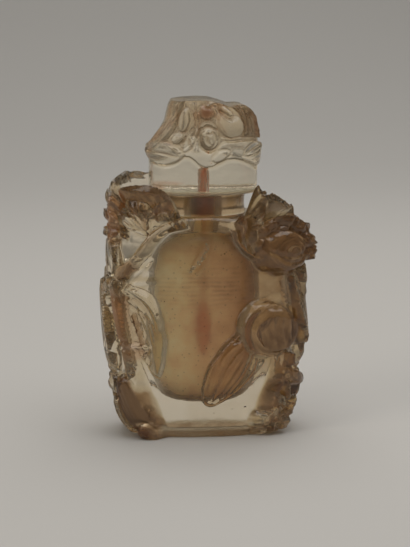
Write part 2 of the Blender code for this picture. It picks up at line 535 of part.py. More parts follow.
def make_bottle():
    table = girth_table(BODY_HALF_WIDTH + CARVING_SIDE, BODY_HALF_DEPTH + CARVING_FACE, PLAN_POWER)
    girth = table[1][-1]
    columns = np.arange(SHEET_COLUMNS) * girth / SHEET_COLUMNS
    rows = np.concatenate([[0.0], np.linspace(FOOT_BEVEL, SPAN_TOP, SHEET_ROWS)])
    u, v = np.meshgrid(columns, rows)
    sheet = Sheet(u, v, girth, CARVING_EDGE)
    sill(sheet, 13.0, 7.0, 0.35)
    carve_ends(sheet)
    carve_back(sheet)
    carve_front(sheet)
    points = sheet_points(u, v, sheet.height, table)

    shell = Shell()
    inner = ring_points(FOOT_HALF_WIDTH * 0.6, FOOT_HALF_DEPTH * 0.6, 0, PLAIN_COLUMNS, PLAN_POWER)
    shell.start((0, 0, 0), inner)
    first = len(shell.mesh.verts)
    for row in points:
        shell.ring(row)
    free = list(range(first, len(shell.mesh.verts)))
    for inset, level in ((0.0, NECK_BASE + 0.4), (0.25, NECK_BASE + NECK_LENGTH * 0.5),
                         (0.0, LIP_HEIGHT - LIP_BEVEL), (LIP_BEVEL, LIP_HEIGHT)):
        shell.ring(ring_points(NECK_HALF_WIDTH - inset, NECK_HALF_DEPTH - inset, level, PLAIN_COLUMNS))
    shell.ring(ring_points(BORE_RADIUS, BORE_RADIUS, LIP_HEIGHT, PLAIN_COLUMNS))
    middle = CAVITY_FLOOR + CAVITY_HEIGHT / 2
    mouth = math.acos((BORE_RADIUS / CAVITY_HALF_WIDTH) ** (CAVITY_POWER / 2))
    for turn in np.concatenate([np.linspace(mouth, 0.2, 6), np.linspace(-0.1, -1.45, 9)]):
        out = math.cos(turn) ** (2 / CAVITY_POWER)
        level = middle + CAVITY_HEIGHT / 2 * signed_power(math.sin(turn), CAVITY_POWER)
        width = CAVITY_HALF_WIDTH * out
        deep = CAVITY_HALF_DEPTH * out
        if turn > 0:
            deep = max(deep, min(BORE_RADIUS, width))
        power = 2.0 + 0.5 * min(1.0, max(0.0, (mouth - turn) * 4))
        shell.ring(ring_points(width, deep, level, PLAIN_COLUMNS, power))
    shell.close((0, 0, CAVITY_FLOOR), False)
    keep = SHEET_TRIANGLES + plain_count(shell, free)
    return shell.finish("bottle", (0.62, 0.57, 0.47), free, keep, 0.0)


def plain_count(shell, free):
    """Triangles that touch no thinned vertex."""
    chosen = set(free)
    shell.mesh.verts.index_update()
    return sum(1 for face in shell.mesh.faces if not any(v.index in chosen for v in face.verts))


def make_stopper():
    table = girth_table(STOPPER_HALF_WIDTH, STOPPER_HALF_DEPTH, STOPPER_POWER)
    girth = table[1][-1]
    columns = np.arange(STOPPER_COLUMNS) * girth / STOPPER_COLUMNS
    top = STOPPER_HEIGHT + STOPPER_TOP_SPAN * 0.94
    rows = np.concatenate([[0.0], np.linspace(FOOT_BEVEL, top, STOPPER_ROWS)])
    u, v = np.meshgrid(columns, rows)
    sheet = Sheet(u, v, girth, CARVING_EDGE)
    carve_stopper(sheet)
    points = stopper_points(u, v, sheet.height, table)

    hole = SHAFT_RADIUS + CLEARANCE
    shell = Shell()
    shell.start((0, 0, STOPPER_BASE + SHAFT_IN_STOPPER + CLEARANCE),
                ring_points(hole, hole, STOPPER_BASE + SHAFT_IN_STOPPER + CLEARANCE, STOPPER_PLAIN_COLUMNS))
    shell.ring(ring_points(hole, hole, STOPPER_BASE, STOPPER_PLAIN_COLUMNS))
    shell.ring(ring_points(STOPPER_HALF_WIDTH * 0.7, STOPPER_HALF_DEPTH * 0.7, STOPPER_BASE,
                           STOPPER_PLAIN_COLUMNS, STOPPER_POWER))
    first = len(shell.mesh.verts)
    for row in points:
        shell.ring(row)
    free = list(range(first, len(shell.mesh.verts)))
    shell.close(points[-1].mean(axis=0), False)
    keep = STOPPER_TRIANGLES + plain_count(shell, free)
    return shell.finish("stopper", (0.70, 0.65, 0.56), free, keep, STOPPER_BASE)


def make_cork():
    top = LIP_HEIGHT
    hole = SHAFT_RADIUS + CLEARANCE
    bevel = 0.2
    shell = Shell()
    bottom = top - CORK_LENGTH
    rings = [(hole, bottom), (CORK_RADIUS - 0.15 - bevel, bottom), (CORK_RADIUS - 0.15, bottom + bevel),
             (CORK_RADIUS, top - bevel), (CORK_RADIUS - bevel, top), (hole, top)]
    made = [shell.ring(ring_points(radius, radius, level, 24)) for radius, level in rings]
    shell.join(made[-1], made[0], False)
    return shell.finish("cork", (0.09, 0.03, 0.01))


def make_spoon():
    """The shaft hangs from the stopper; the bowl is a slender dished leaf at its end."""
    top = STOPPER_BASE + SHAFT_IN_STOPPER
    shell = Shell()
    shell.start((0, 0, top), ring_points(SHAFT_RADIUS - 0.15, SHAFT_RADIUS - 0.15, top, 12))
    bowl_top = top - SHAFT_LENGTH
    for drop in (0.15, SHAFT_LENGTH * 0.35, SHAFT_LENGTH * 0.7, SHAFT_LENGTH):
        radius = SHAFT_RADIUS * (1 - 0.3 * ease(drop / SHAFT_LENGTH))
        shell.ring(ring_points(radius, radius, top - drop, 12))
    slim = SHAFT_RADIUS * 0.7
    for k in range(1, 12):
        share = k / 11.5
        swelling = math.sin(math.pi * share ** 0.85) ** 0.7
        wide = slim * (1 - share) + (BOWL_HALF_WIDTH - slim * (1 - share)) * swelling
        thick = slim * (1 - share) + (BOWL_THICKNESS - slim * (1 - share)) * swelling
        ring = []
        for x, y, level in ring_points(wide, thick, bowl_top - BOWL_LENGTH * share, 12):
            dish = BOWL_DISH * swelling * (1 - (x / wide) ** 2) if y < -1e-6 else 0.0
            ring.append((x, y + dish, level))
        shell.ring(ring)
    shell.close((0, 0, bowl_top - BOWL_LENGTH), False)
    return shell.finish("spoon", (0.45, 0.16, 0.07))


for leftover in list(bpy.data.objects):
    bpy.data.objects.remove(leftover, do_unlink=True)
make_bottle()
make_stopper()
make_cork()
make_spoon()
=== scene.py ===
"""The looks of the rock crystal snuff bottle: crystal, smoky skin, stained hollow, stopper, cork and spoon.

The origin is the middle of the flat underside, the carved front faces -Y and Z is up.
"""
import math

import bmesh
import bpy
import numpy as np
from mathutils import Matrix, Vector


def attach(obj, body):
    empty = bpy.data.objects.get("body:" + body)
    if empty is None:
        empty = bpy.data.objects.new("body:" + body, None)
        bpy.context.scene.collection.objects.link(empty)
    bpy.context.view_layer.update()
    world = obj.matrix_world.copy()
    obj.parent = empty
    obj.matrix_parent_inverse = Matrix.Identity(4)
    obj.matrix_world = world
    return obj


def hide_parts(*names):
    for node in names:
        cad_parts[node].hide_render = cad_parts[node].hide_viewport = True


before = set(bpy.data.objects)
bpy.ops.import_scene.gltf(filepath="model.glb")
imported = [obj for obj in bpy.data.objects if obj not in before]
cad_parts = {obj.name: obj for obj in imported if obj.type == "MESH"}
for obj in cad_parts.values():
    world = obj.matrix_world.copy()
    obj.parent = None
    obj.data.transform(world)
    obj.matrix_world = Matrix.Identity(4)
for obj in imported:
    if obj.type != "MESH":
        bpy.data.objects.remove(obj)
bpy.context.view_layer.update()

# Sizes in millimetres, turned into metres when a mesh is made.
MM = 0.001

# The smooth crystal body.
BODY_HALF_WIDTH = 17.8
BODY_HALF_DEPTH = 9.6
FOOT_HALF_WIDTH = 13.6
FOOT_HALF_DEPTH = 7.6
BELT_HEIGHT = 27.0
SHOULDER_HEIGHT = 45.0
PLAN_POWER = 2.8
PROFILE_POWER = 2.6
FOOT_BEVEL = 0.3

# The neck.
NECK_HALF_WIDTH = 9.2
NECK_HALF_DEPTH = 7.4
NECK_RISE = 3.2
NECK_LENGTH = 4.3
LIP_BEVEL = 0.3

# The brown skin that the flowers and leaves are cut in, outside the smooth body.
CARVING_SIDE = 4.6
CARVING_FACE = 2.9
CARVING_RISE = 12.0
CARVING_LEAN = 1.7
CARVING_TOP_HALF_WIDTH = 16.4
CARVING_TOP_HALF_DEPTH = 11.0
CARVING_EDGE = 0.4

# The line cut round each form, as a share of its height, with painted shade along it, and the paler rim just
# inside it, partly thinner skin and partly a painted highlight.
LINE_WIDTH = 0.3
LINE_DEPTH = 0.16
LINE_PAINTED_SHADE = 0.22
RIM_PLACE = 0.6
RIM_WIDTH = 0.3
RIM_PALENESS_AND_PAINTED_HIGHLIGHT = 0.35

# The cavity.
CAVITY_HALF_WIDTH = 11.7
CAVITY_HALF_DEPTH = 5.4
CAVITY_FLOOR = 7.3
CAVITY_HEIGHT = 37.2
CAVITY_POWER = 3.6

# The cork and the spoon, with the room left round them.
CLEARANCE = 0.3
CORK_RADIUS = 2.85
CORK_LENGTH = 4.9
SHAFT_RADIUS = 0.85
SHAFT_IN_STOPPER = 5.2
SHAFT_LENGTH = 29.5
BOWL_LENGTH = 12.0
BOWL_HALF_WIDTH = 1.7
BOWL_THICKNESS = 0.7
BOWL_DISH = 0.45

# The stopper.
STOPPER_HALF_WIDTH = 11.8
STOPPER_HALF_DEPTH = 8.0
STOPPER_HEIGHT = 19.8
STOPPER_BLOCK = 7.6
STOPPER_CUT = 2.2
STOPPER_BLOCK_LEVEL = 0.7
STOPPER_POWER = 2.7

# Levels that follow from the sizes above.
NECK_BASE = SHOULDER_HEIGHT + NECK_RISE
LIP_HEIGHT = NECK_BASE + NECK_LENGTH
BORE_RADIUS = CORK_RADIUS + CLEARANCE
CARVING_TOP = SHOULDER_HEIGHT + CARVING_RISE
SPAN_TOP = CARVING_TOP + 6.0
STOPPER_BASE = LIP_HEIGHT + CLEARANCE
STOPPER_TOP_SPAN = STOPPER_HALF_DEPTH * 0.9


def ease(x):
    x = np.clip(x, 0, 1)
    return x * x * (3 - 2 * x)


def signed_power(values, power):
    return np.sign(values) * np.abs(values) ** (2.0 / power)


def swell(v, half, foot):
    """Half size of the body at height v, out from the foot to the belt and a little in to the shoulder."""
    reach = BELT_HEIGHT / (1 - (foot / half) ** PROFILE_POWER) ** (1 / PROFILE_POWER)
    drop = np.clip((BELT_HEIGHT - v) / reach, 0, 1)
    under = half * (1 - drop ** PROFILE_POWER) ** (1 / PROFILE_POWER)
    rise = np.clip((v - BELT_HEIGHT) / (SHOULDER_HEIGHT - BELT_HEIGHT), 0, 1)
    return under * (1 - 0.06 * rise ** 2) - FOOT_BEVEL * np.clip(1 - v / FOOT_BEVEL, 0, 1)


def ground(v):
    """Half width, half depth and height of the smooth body where the carving is cut away."""
    body = np.clip(v, 0, SHOULDER_HEIGHT)
    turn = np.clip((v - SHOULDER_HEIGHT) / (SPAN_TOP - SHOULDER_HEIGHT), 0, 1) * math.pi / 2
    out = np.cos(turn) ** 0.8
    width = NECK_HALF_WIDTH + (swell(body, BODY_HALF_WIDTH, FOOT_HALF_WIDTH) - NECK_HALF_WIDTH) * out
    depth = NECK_HALF_DEPTH + (swell(body, BODY_HALF_DEPTH, FOOT_HALF_DEPTH) - NECK_HALF_DEPTH) * out
    return width, depth, body + NECK_RISE * np.sin(turn)


def crest(v):
    """Half width, half depth and height of the skin, up to its top and down again beside the neck."""
    body = np.clip(v, 0, SHOULDER_HEIGHT)
    width = swell(body, BODY_HALF_WIDTH + CARVING_SIDE, FOOT_HALF_WIDTH + CARVING_SIDE * 0.8)
    depth = swell(body, BODY_HALF_DEPTH + CARVING_FACE, FOOT_HALF_DEPTH + CARVING_FACE * 0.8)
    rise = np.clip((v - SHOULDER_HEIGHT) / CARVING_RISE, 0, 1)
    turn = np.clip((v - CARVING_TOP) / (SPAN_TOP - CARVING_TOP), 0, 1)
    width = width - (width - CARVING_TOP_HALF_WIDTH) * rise ** 4
    depth = depth - (depth - CARVING_TOP_HALF_DEPTH) * rise ** 2.2
    width = width - (CARVING_TOP_HALF_WIDTH - NECK_HALF_WIDTH) * turn ** 1.5
    depth = depth - (CARVING_TOP_HALF_DEPTH - NECK_HALF_DEPTH) * turn ** 1.3
    fall = np.sin(turn * math.pi / 2) ** 0.8
    return width, depth, np.minimum(v, CARVING_TOP) - (CARVING_TOP - NECK_BASE) * fall


def girth_table(half_width, half_depth, power):
    """Angles from the middle of the front, and the distance round the plan outline at each."""
    angle = np.linspace(-math.pi / 2, 3 * math.pi / 2, 8001)
    x = half_width * signed_power(np.cos(angle), power)
    y = half_depth * signed_power(np.sin(angle), power)
    return angle, np.concatenate([[0], np.cumsum(np.hypot(np.diff(x), np.diff(y)))])


class Sheet:
    """A side unrolled flat, in millimetres: carved height, smoky colour, iron stain and satin finish."""

    def __init__(self, u, v, girth, edge):
        self.u, self.v, self.girth, self.edge = u, v, girth, edge
        self.height, self.smoke, self.iron, self.satin = [np.zeros_like(u) for _ in range(4)]

    def away(self, place):
        """Distances from a place, the short way round and up."""
        du = np.mod(self.u - place[0] + self.girth / 2, self.girth) - self.girth / 2
        return du, self.v - place[1]

    def lay(self, inside, height, smoke):
        """Lays a form over what is there; inside is how far each point lies in from its outline."""
        wall = ease(inside / self.edge)
        level = wall * height
        over = (level > self.height) & (inside > 0)
        self.height = np.where(over, level, self.height)
        # The skin is thinner and paler along a rim, which also serves as a painted highlight, and painted
        # shade darkens the line cut round each form.
        pale = 1 - RIM_PALENESS_AND_PAINTED_HIGHLIGHT * np.exp(-((inside - RIM_PLACE) / RIM_WIDTH) ** 2)
        self.smoke = np.where(over, self.smoke + (smoke * pale - self.smoke) * wall, self.smoke)
        on_top = (height * 0.97 >= self.height * wall) & (self.height > 0.02)
        line = np.exp(-(inside / LINE_WIDTH) ** 2) * on_top
        self.height = self.height * (1 - LINE_DEPTH * line)
        self.smoke = self.smoke + LINE_PAINTED_SHADE * line * (1 - self.smoke)

    def shade(self, layer, centre, half_u, half_v, depth, turn=0.0):
        """Brings a layer such as the smoke to a new depth inside an oval with a soft edge."""
        du, dv = self.away(centre)
        c, s = math.cos(math.radians(turn)), math.sin(math.radians(turn))
        near = ease((1.2 - np.hypot((du * c + dv * s) / half_u, (dv * c - du * s) / half_v)) / 0.5)
        layer += (depth - layer) * near


def blade(sheet, base, tip, half, height, end=None, bend=0.0, full=0.8, blunt=0.7, cup=0.0, vein=0.0,
          ribs=0, rib=0.05, wave=0.0, waves=6, smoke=1.0, tip_smoke=None):
    """A leaf or a petal: full sets where it is widest, blunt how round its ends are, cup lifts its rim."""
    du, dv = sheet.away(base)
    eu = (tip[0] - base[0] + sheet.girth / 2) % sheet.girth - sheet.girth / 2
    ev = tip[1] - base[1]
    length = math.hypot(eu, ev)
    along = (du * eu + dv * ev) / length ** 2
    a = np.clip(along, 0, 1)
    across = (dv * eu - du * ev) / length - bend * 4 * a * (1 - a)
    outline = half * np.sin(math.pi * a ** full) ** blunt * (1 + wave * np.sin(waves * math.pi * a))
    ends = length * (0.5 - np.abs(along - 0.5)) + half * 0.05
    inside = np.minimum(outline - np.abs(across), ends)
    share = np.clip(np.abs(across) / np.maximum(outline, 0.05), 0, 1)
    level = height + ((height if end is None else end) - height) * a + cup * share ** 2.5
    level = level - vein * np.exp(-(across / 0.28) ** 2)
    if ribs:
        level = level - rib * (0.5 + 0.5 * np.cos(2 * math.pi * ribs * (a - 0.35 * share)))
    tint = smoke if tip_smoke is None else smoke + (tip_smoke - smoke) * ease((a - 0.35) / 0.45)
    sheet.lay(inside, level, tint)


def dome(sheet, centre, half_u, half_v, height, drop=0.25, rings=0, ring=0.05, smoke=1.0):
    """A bud: an oval dome with arcs cut round it."""
    du, dv = sheet.away(centre)
    reach = np.hypot(du / half_u, dv / half_v)
    level = height - drop * reach ** 2
    if rings:
        level = level - ring * (0.5 + 0.5 * np.cos(2 * math.pi * rings * reach ** 1.3))
    sheet.lay((1 - reach) * min(half_u, half_v), level, smoke)


def track(sheet, places):
    """Distance of each point from a smooth curve through the places, and how far along the curve it is."""
    places = np.array(places, float)
    whole = np.vstack([2 * places[0] - places[1], places, 2 * places[-1] - places[-2]])
    line = []
    for k in range(len(places) - 1):
        p0, p1, p2, p3 = whole[k:k + 4]
        for t in np.arange(8) / 8:
            line.append(0.5 * (2 * p1 + (p2 - p0) * t + (2 * p0 - 5 * p1 + 4 * p2 - p3) * t * t
                               + (3 * p1 - p0 - 3 * p2 + p3) * t ** 3))
    line.append(places[-1])
    nearest = np.full_like(sheet.u, 99.0)
    share = np.zeros_like(sheet.u)
    for k in range(len(line) - 1):
        du, dv = sheet.away(line[k])
        step = line[k + 1] - line[k]
        t = np.clip((du * step[0] + dv * step[1]) / (step @ step), 0, 1)
        gap = np.hypot(du - t * step[0], dv - t * step[1])
        closer = gap < nearest
        nearest = np.where(closer, gap, nearest)
        share = np.where(closer, (k + t) / (len(line) - 1), share)
    return nearest, share


def stem(sheet, places, half, height, end=None, smoke=1.0):
    """A round stem along a smooth curve through the places."""
    nearest, share = track(sheet, places)
    rounding = np.sqrt(np.clip(1 - (nearest / half) ** 2, 0, 1))
    level = (height + ((height if end is None else end) - height) * share) * (0.75 + 0.25 * rounding)
    sheet.lay(half - nearest, level, smoke)


def score(sheet, places, depth=0.09, half=0.26, smoke=0.22):
    """A fine line cut along a curve, fading out at its ends and darkened by painted shade."""
    nearest, share = track(sheet, places)
    line = np.exp(-(nearest / half) ** 2) * np.sin(math.pi * np.clip(share, 0.02, 0.98)) ** 0.4
    sheet.height = np.maximum(sheet.height - depth * line, 0)
    # Painted shade along the cut, laid in the smoke layer.
    sheet.smoke = sheet.smoke + smoke * line * (1 - sheet.smoke)


def arc(centre, half_u, half_v, start, end):
    """Places along part of an oval, in degrees from its right end."""
    turns = np.radians(np.linspace(start, end, 7))
    return [(centre[0] + half_u * math.cos(t), centre[1] + half_v * math.sin(t)) for t in turns]


def blossom(sheet, centre, petals, bud):
    """A flower: petals given by their tips, half widths and heights, laid round a folded bud."""
    for tip, half, height, end, smoke in petals:
        blade(sheet, centre, tip, half, height, end, full=2.0, blunt=0.4, cup=0.08, vein=0.03, smoke=smoke)
    half_u, half_v, height = bud
    dome(sheet, centre, half_u, half_v, height, drop=0.2, rings=2, ring=0.08)


def sill(sheet, start, width, height):
    """The ground rises from the clear window at the front and back to the carved ends."""
    quarter = sheet.girth / 4
    from_end = np.abs(np.mod(np.abs(sheet.u), 2 * quarter) - quarter)
    sheet.height = height * ease((quarter - from_end - start) / width) * ease((CARVING_TOP - sheet.v) / 9.0)


def carve_front(sheet):
    """The side that the photo shows."""
    # Clear leaves at the left end, seen in outline.
    blade(sheet, (-23.7, 14.3), (-30.0, 35.0), 2.4, 0.85, end=1.04, full=0.9, vein=0.05, smoke=0.05)
    blade(sheet, (-21.5, 34.0), (-29.5, 45.0), 2.6, 0.8, end=0.9, full=1.1, blunt=0.5, vein=0.05, smoke=0.1)
    # The fan flower at the upper left: a clear petal, a brown one above it and a rounded one by the neck.
    blade(sheet, (-14.4, 44.4), (-22.8, 51.2), 3.4, 0.56, end=0.8, bend=-0.9, full=1.3, blunt=0.45,
          smoke=0.06, tip_smoke=0.12)
    blade(sheet, (-14.2, 44.6), (-20.6, 55.6), 3.0, 0.62, end=0.84, bend=-0.5, full=1.7, blunt=0.4,
          smoke=0.35, tip_smoke=0.55)
    blade(sheet, (-13.7, 44.2), (-11.4, 55.4), 3.4, 0.6, end=0.7, bend=-0.2, full=1.5, blunt=0.42,
          smoke=0.25, tip_smoke=0.4)
    dome(sheet, (-11.5, 50.1), 2.1, 1.9, 0.72, drop=0.12, smoke=0.35)
    blade(sheet, (-8.4, 53.0), (-25.5, 53.6), 1.4, 0.86, end=0.98, bend=-1.9, full=0.9, blunt=0.5, smoke=0.7)
    stem(sheet, [(-22.6, 50.4), (-19.7, 50.4), (-16.7, 48.4), (-14.2, 44.7)], 0.5, 0.9, smoke=0.16)
    stem(sheet, [(-14.3, 44.7), (-14.5, 48.6), (-13.6, 52.2), (-11.9, 53.6), (-9.6, 53.2), (-7.9, 51.2),
                 (-8.2, 48.7)], 0.5, 0.88, end=0.82, smoke=0.2)
    blade(sheet, (-24.0, 42.6), (-29.0, 55.6), 2.6, 0.94, end=1.02, full=1.0, blunt=0.5, wave=0.3, waves=7,
          vein=0.05, smoke=0.5)
    for base, tip in (((-26.4, 51.0), (-31.6, 53.2)), ((-26.4, 47.6), (-31.6, 48.8)),
                      ((-26.4, 44.6), (-31.0, 44.4))):
        blade(sheet, base, tip, 1.5, 0.98, end=1.16, full=0.8, blunt=0.8, vein=0.1, smoke=0.6)
    stem(sheet, [(-21.2, 43.7), (-22.3, 48.9), (-23.4, 53.3)], 0.45, 0.98, smoke=0.4)
    # The branch from the neck down to the node on the left.
    stem(sheet, [(-6.4, 48.9), (-9.8, 47.1), (-13.8, 44.0), (-17.1, 40.0), (-22.6, 33.9)], 1.2, 0.8,
         smoke=0.4)
    blade(sheet, (-18.0, 39.0), (-22.9, 33.8), 1.6, 0.86, end=0.95, full=0.9, blunt=0.6, smoke=0.6)
    # Small clear leaves from the node.
    blade(sheet, (-22.0, 34.0), (-14.2, 39.5), 2.4, 0.4, end=0.2, bend=1.1, full=0.8, vein=0.08, smoke=0.12)
    blade(sheet, (-22.0, 33.6), (-12.5, 34.9), 1.1, 0.35, end=0.12, vein=0.06, smoke=0.15)
    # The long hanging leaf on the left, its two folded edges, and a twig over it.
    blade(sheet, (-22.8, 32.8), (-12.9, 13.9), 4.3, 0.46, end=0.3, bend=2.8, full=0.95, blunt=0.55, cup=0.12,
          vein=0.06, wave=0.05, waves=9, smoke=0.3)
    blade(sheet, (-22.6, 33.1), (-11.8, 22.3), 1.7, 0.64, end=0.46, bend=3.0, full=0.9, blunt=0.5, cup=0.1,
          vein=0.1, smoke=0.3)
    blade(sheet, (-20.9, 30.6), (-12.8, 25.3), 1.1, 0.58, end=0.46, bend=1.5, full=0.9, blunt=0.5, cup=0.12,
          smoke=0.35)
    stem(sheet, [(-18.1, 27.3), (-17.2, 24.8), (-16.0, 21.1)], 0.5, 0.78, end=0.6)
    # The stem, the knot and the pod at the lower left.
    stem(sheet, [(-22.0, 34.2), (-21.2, 29.5), (-19.9, 24.2), (-18.6, 19.5), (-17.9, 15.2), (-17.0, 10.8)],
         1.3, 0.98, smoke=0.1)
    blade(sheet, (-20.6, 21.5), (-13.1, 20.4), 0.9, 0.72, end=0.4, bend=-0.4, full=0.8, smoke=0.1)
    dome(sheet, (-24.2, 11.6), 2.4, 2.4, 1.0, drop=0.2, smoke=0.12)
    dome(sheet, (-20.4, 13.0), 1.6, 1.8, 1.06, drop=0.3, smoke=0.3)
    blade(sheet, (-20.3, 13.6), (-14.4, -0.6), 3.8, 1.05, end=1.25, bend=-0.6, full=0.95, blunt=0.45,
          cup=-0.2, smoke=1.35)
    blade(sheet, (-22.4, 10.4), (-20.4, 0.3), 1.5, 1.08, end=1.14, bend=-0.8, full=0.9, vein=0.08, smoke=0.2)
    dome(sheet, (-15.6, 1.3), 3.0, 2.4, 1.38, drop=0.25)
    # The clear leaf and the strips to the right of the neck.
    blade(sheet, (13.4, 54.4), (19.8, 49.4), 1.7, 1.0, bend=0.3, full=0.9, blunt=0.45, vein=0.04, smoke=0.06)
    stem(sheet, [(7.8, 45.8), (8.4, 42.9), (10.8, 40.5), (14.3, 38.6)], 0.45, 0.5, end=0.6, smoke=0.35)
    blade(sheet, (9.4, 42.2), (10.2, 52.6), 1.0, 0.5, end=0.62, full=1.1, blunt=0.5, vein=0.16, smoke=0.7)
    blade(sheet, (12.0, 40.0), (16.1, 57.3), 1.3, 0.6, end=0.92, bend=0.9, full=1.0, blunt=0.45, cup=0.12,
          smoke=0.36)
    # The blossom at the upper right, its petals cupped round a bowl of folded ones.
    dome(sheet, (25.0, 41.4), 3.2, 3.7, 1.3, drop=0.4, smoke=0.55)
    blossom(sheet, (17.7, 42.9), [
        ((27.2, 40.0), 3.2, 0.95, 1.14, 0.6),
        ((27.0, 44.2), 2.9, 0.9, 1.08, 0.95),
        ((23.2, 48.0), 2.9, 0.85, 0.9, 0.9),
        ((17.6, 49.4), 3.1, 0.8, 0.9, 0.85),
        ((13.4, 46.8), 2.6, 0.75, 0.82, 0.85),
        ((12.2, 41.0), 2.6, 0.78, 0.84, 0.95),
        ((14.1, 37.2), 2.9, 0.85, 0.88, 0.9),
        ((19.5, 35.8), 3.3, 0.9, 0.96, 0.8),
    ], (3.4, 3.6, 1.04))
    dome(sheet, (18.2, 40.7), 5.6, 4.5, 1.16, drop=0.22, rings=4, ring=0.06, smoke=0.75)
    # Stems and leaves down the right edge.
    blade(sheet, (19.6, 37.0), (26.3, 19.0), 2.0, 0.8, end=0.9, bend=-0.4, full=1.0, blunt=0.5, vein=0.08,
          smoke=0.25)
    blade(sheet, (19.9, 37.0), (21.6, 28.9), 1.5, 0.7, end=0.78, full=1.0, vein=0.1, smoke=0.2)
    # The hanging leaf with its ribs, and the round flower in its ring at the lower right.
    blade(sheet, (13.4, 20.7), (-0.4, 8.0), 5.0, 0.55, end=0.42, bend=-0.9, full=0.85, blunt=0.45, cup=0.12,
          smoke=0.22)
    for rib_line in ([(7.9, 22.9), (3.1, 18.5), (0.1, 10.1)], [(9.4, 20.9), (5.4, 16.0), (1.4, 8.4)],
                     [(10.9, 19.3), (8.4, 13.9), (4.0, 8.6)]):
        stem(sheet, rib_line, 0.45, 0.7, end=0.52, smoke=0.4)
    dome(sheet, (14.5, 23.8), 6.7, 6.3, 0.84, drop=0.14, smoke=0.65)
    dome(sheet, (15.0, 23.7), 5.2, 5.0, 0.97, drop=0.08, smoke=0.9)
    # Stems, a leaf tip and the small flower at the lower right.
    stem(sheet, [(18.3, 18.4), (17.6, 12.7), (16.4, 7.8), (15.9, 1.9)], 1.1, 0.82, smoke=0.7)
    stem(sheet, [(19.6, 18.2), (19.1, 11.6), (21.4, 4.9)], 0.8, 0.86, smoke=0.75)
    blade(sheet, (17.6, 15.4), (26.0, 11.1), 1.9, 0.88, end=0.84, bend=-0.4, full=1.2, blunt=0.5, smoke=0.9)
    blade(sheet, (19.1, 2.5), (17.4, 10.0), 1.7, 0.84, end=0.88, full=1.0, blunt=0.5, vein=0.1, smoke=0.4)
    blade(sheet, (20.8, 1.4), (22.2, 9.4), 1.9, 0.85, end=0.9, full=1.0, vein=0.08, smoke=0.25)
    blossom(sheet, (18.3, 3.8), [(tip, 1.7, 0.88, 0.92, 0.5) for tip in
                                 ((18.2, 0.4), (13.8, 4.0), (16.3, 6.6), (22.7, 5.2), (23.4, 1.4))],
            (1.3, 1.1, 1.0))


def carve_back(sheet):
    """The hidden side, in keeping with the front but plainer."""
    middle = sheet.girth / 2
    # The highest clear leaf, standing behind the fan flower.
    blade(sheet, (-28.0, 52.8), (13.0 - middle, 56.6), 3.2, 1.1, end=0.84, bend=-1.0, full=0.9, blunt=0.4,
          ribs=3, rib=0.04, smoke=0.05)
    for side in (1, -1):
        place = lambda u, v: (middle + side * u, v)
        stem(sheet, [place(22, 6), place(19, 18), place(20, 30), place(16, 40)], 1.1, 0.8, smoke=0.5)
        blade(sheet, place(20, 30), place(9, 22), 2.6, 0.5, end=0.35, bend=side * 0.8, full=0.9, vein=0.08,
              ribs=3, smoke=0.3)
        blade(sheet, place(20, 17), place(10, 9), 2.6, 0.6, end=0.4, bend=-side * 0.8, full=0.9, vein=0.08,
              ribs=3, smoke=0.4)
        blade(sheet, place(27, 31), place(26, 15), 2.4, 0.85, full=1.0, vein=0.08, ribs=3, smoke=0.3)
        petals = [(place(17 + 6.2 * math.cos(k * math.tau / 6), 43 + 5.6 * math.sin(k * math.tau / 6)),
                   2.9, 0.74, 0.86, 0.9) for k in range(6)]
        blossom(sheet, place(17, 43), petals, (3.0, 2.7, 0.98))
        dome(sheet, place(21.5, 6.5), 3.4, 4.0, 0.95, drop=0.2, rings=2)


def carve_ends(sheet):
    """The narrow ends: a stem with leaves, a bud and a small flower on each."""
    quarter = sheet.girth / 4
    for side in (1, -1):
        place = lambda u, v: (side * (quarter + u), v)
        stem(sheet, [place(1.5, 3), place(3.5, 14), place(1.0, 26), place(2.5, 40)], 1.0, 0.8, smoke=0.4)
        blade(sheet, place(2.0, 27), place(-3.6, 38), 2.3, 0.72, end=0.84, bend=side * 0.6, full=0.9,
              vein=0.08, ribs=3, smoke=0.18)
        blade(sheet, place(3.0, 13), place(-3.4, 25), 2.2, 0.7, end=0.82, bend=side * 0.6, full=0.9,
              vein=0.08, ribs=3, smoke=0.25)
        blade(sheet, place(2.5, 22), place(6.5, 10), 2.0, 0.7, end=0.78, bend=-side * 0.5, full=0.9,
              vein=0.08, ribs=3, smoke=0.25)
        blade(sheet, place(1.5, 5), place(-3.0, 13), 2.2, 0.72, end=0.84, full=1.0, vein=0.08, ribs=2,
              smoke=0.35)
        dome(sheet, place(2.6, 40), 3.0, 3.4, 0.82, drop=0.2, rings=2, smoke=0.55)
        dome(sheet, place(2.5, 4.5), 2.6, 3.0, 0.9, drop=0.2, rings=1, smoke=0.5)
        blade(sheet, place(3.4, 42), place(0.5, 52), 2.6, 0.62, end=0.6, full=1.2, blunt=0.5, vein=0.06,
              ribs=2, smoke=0.2)


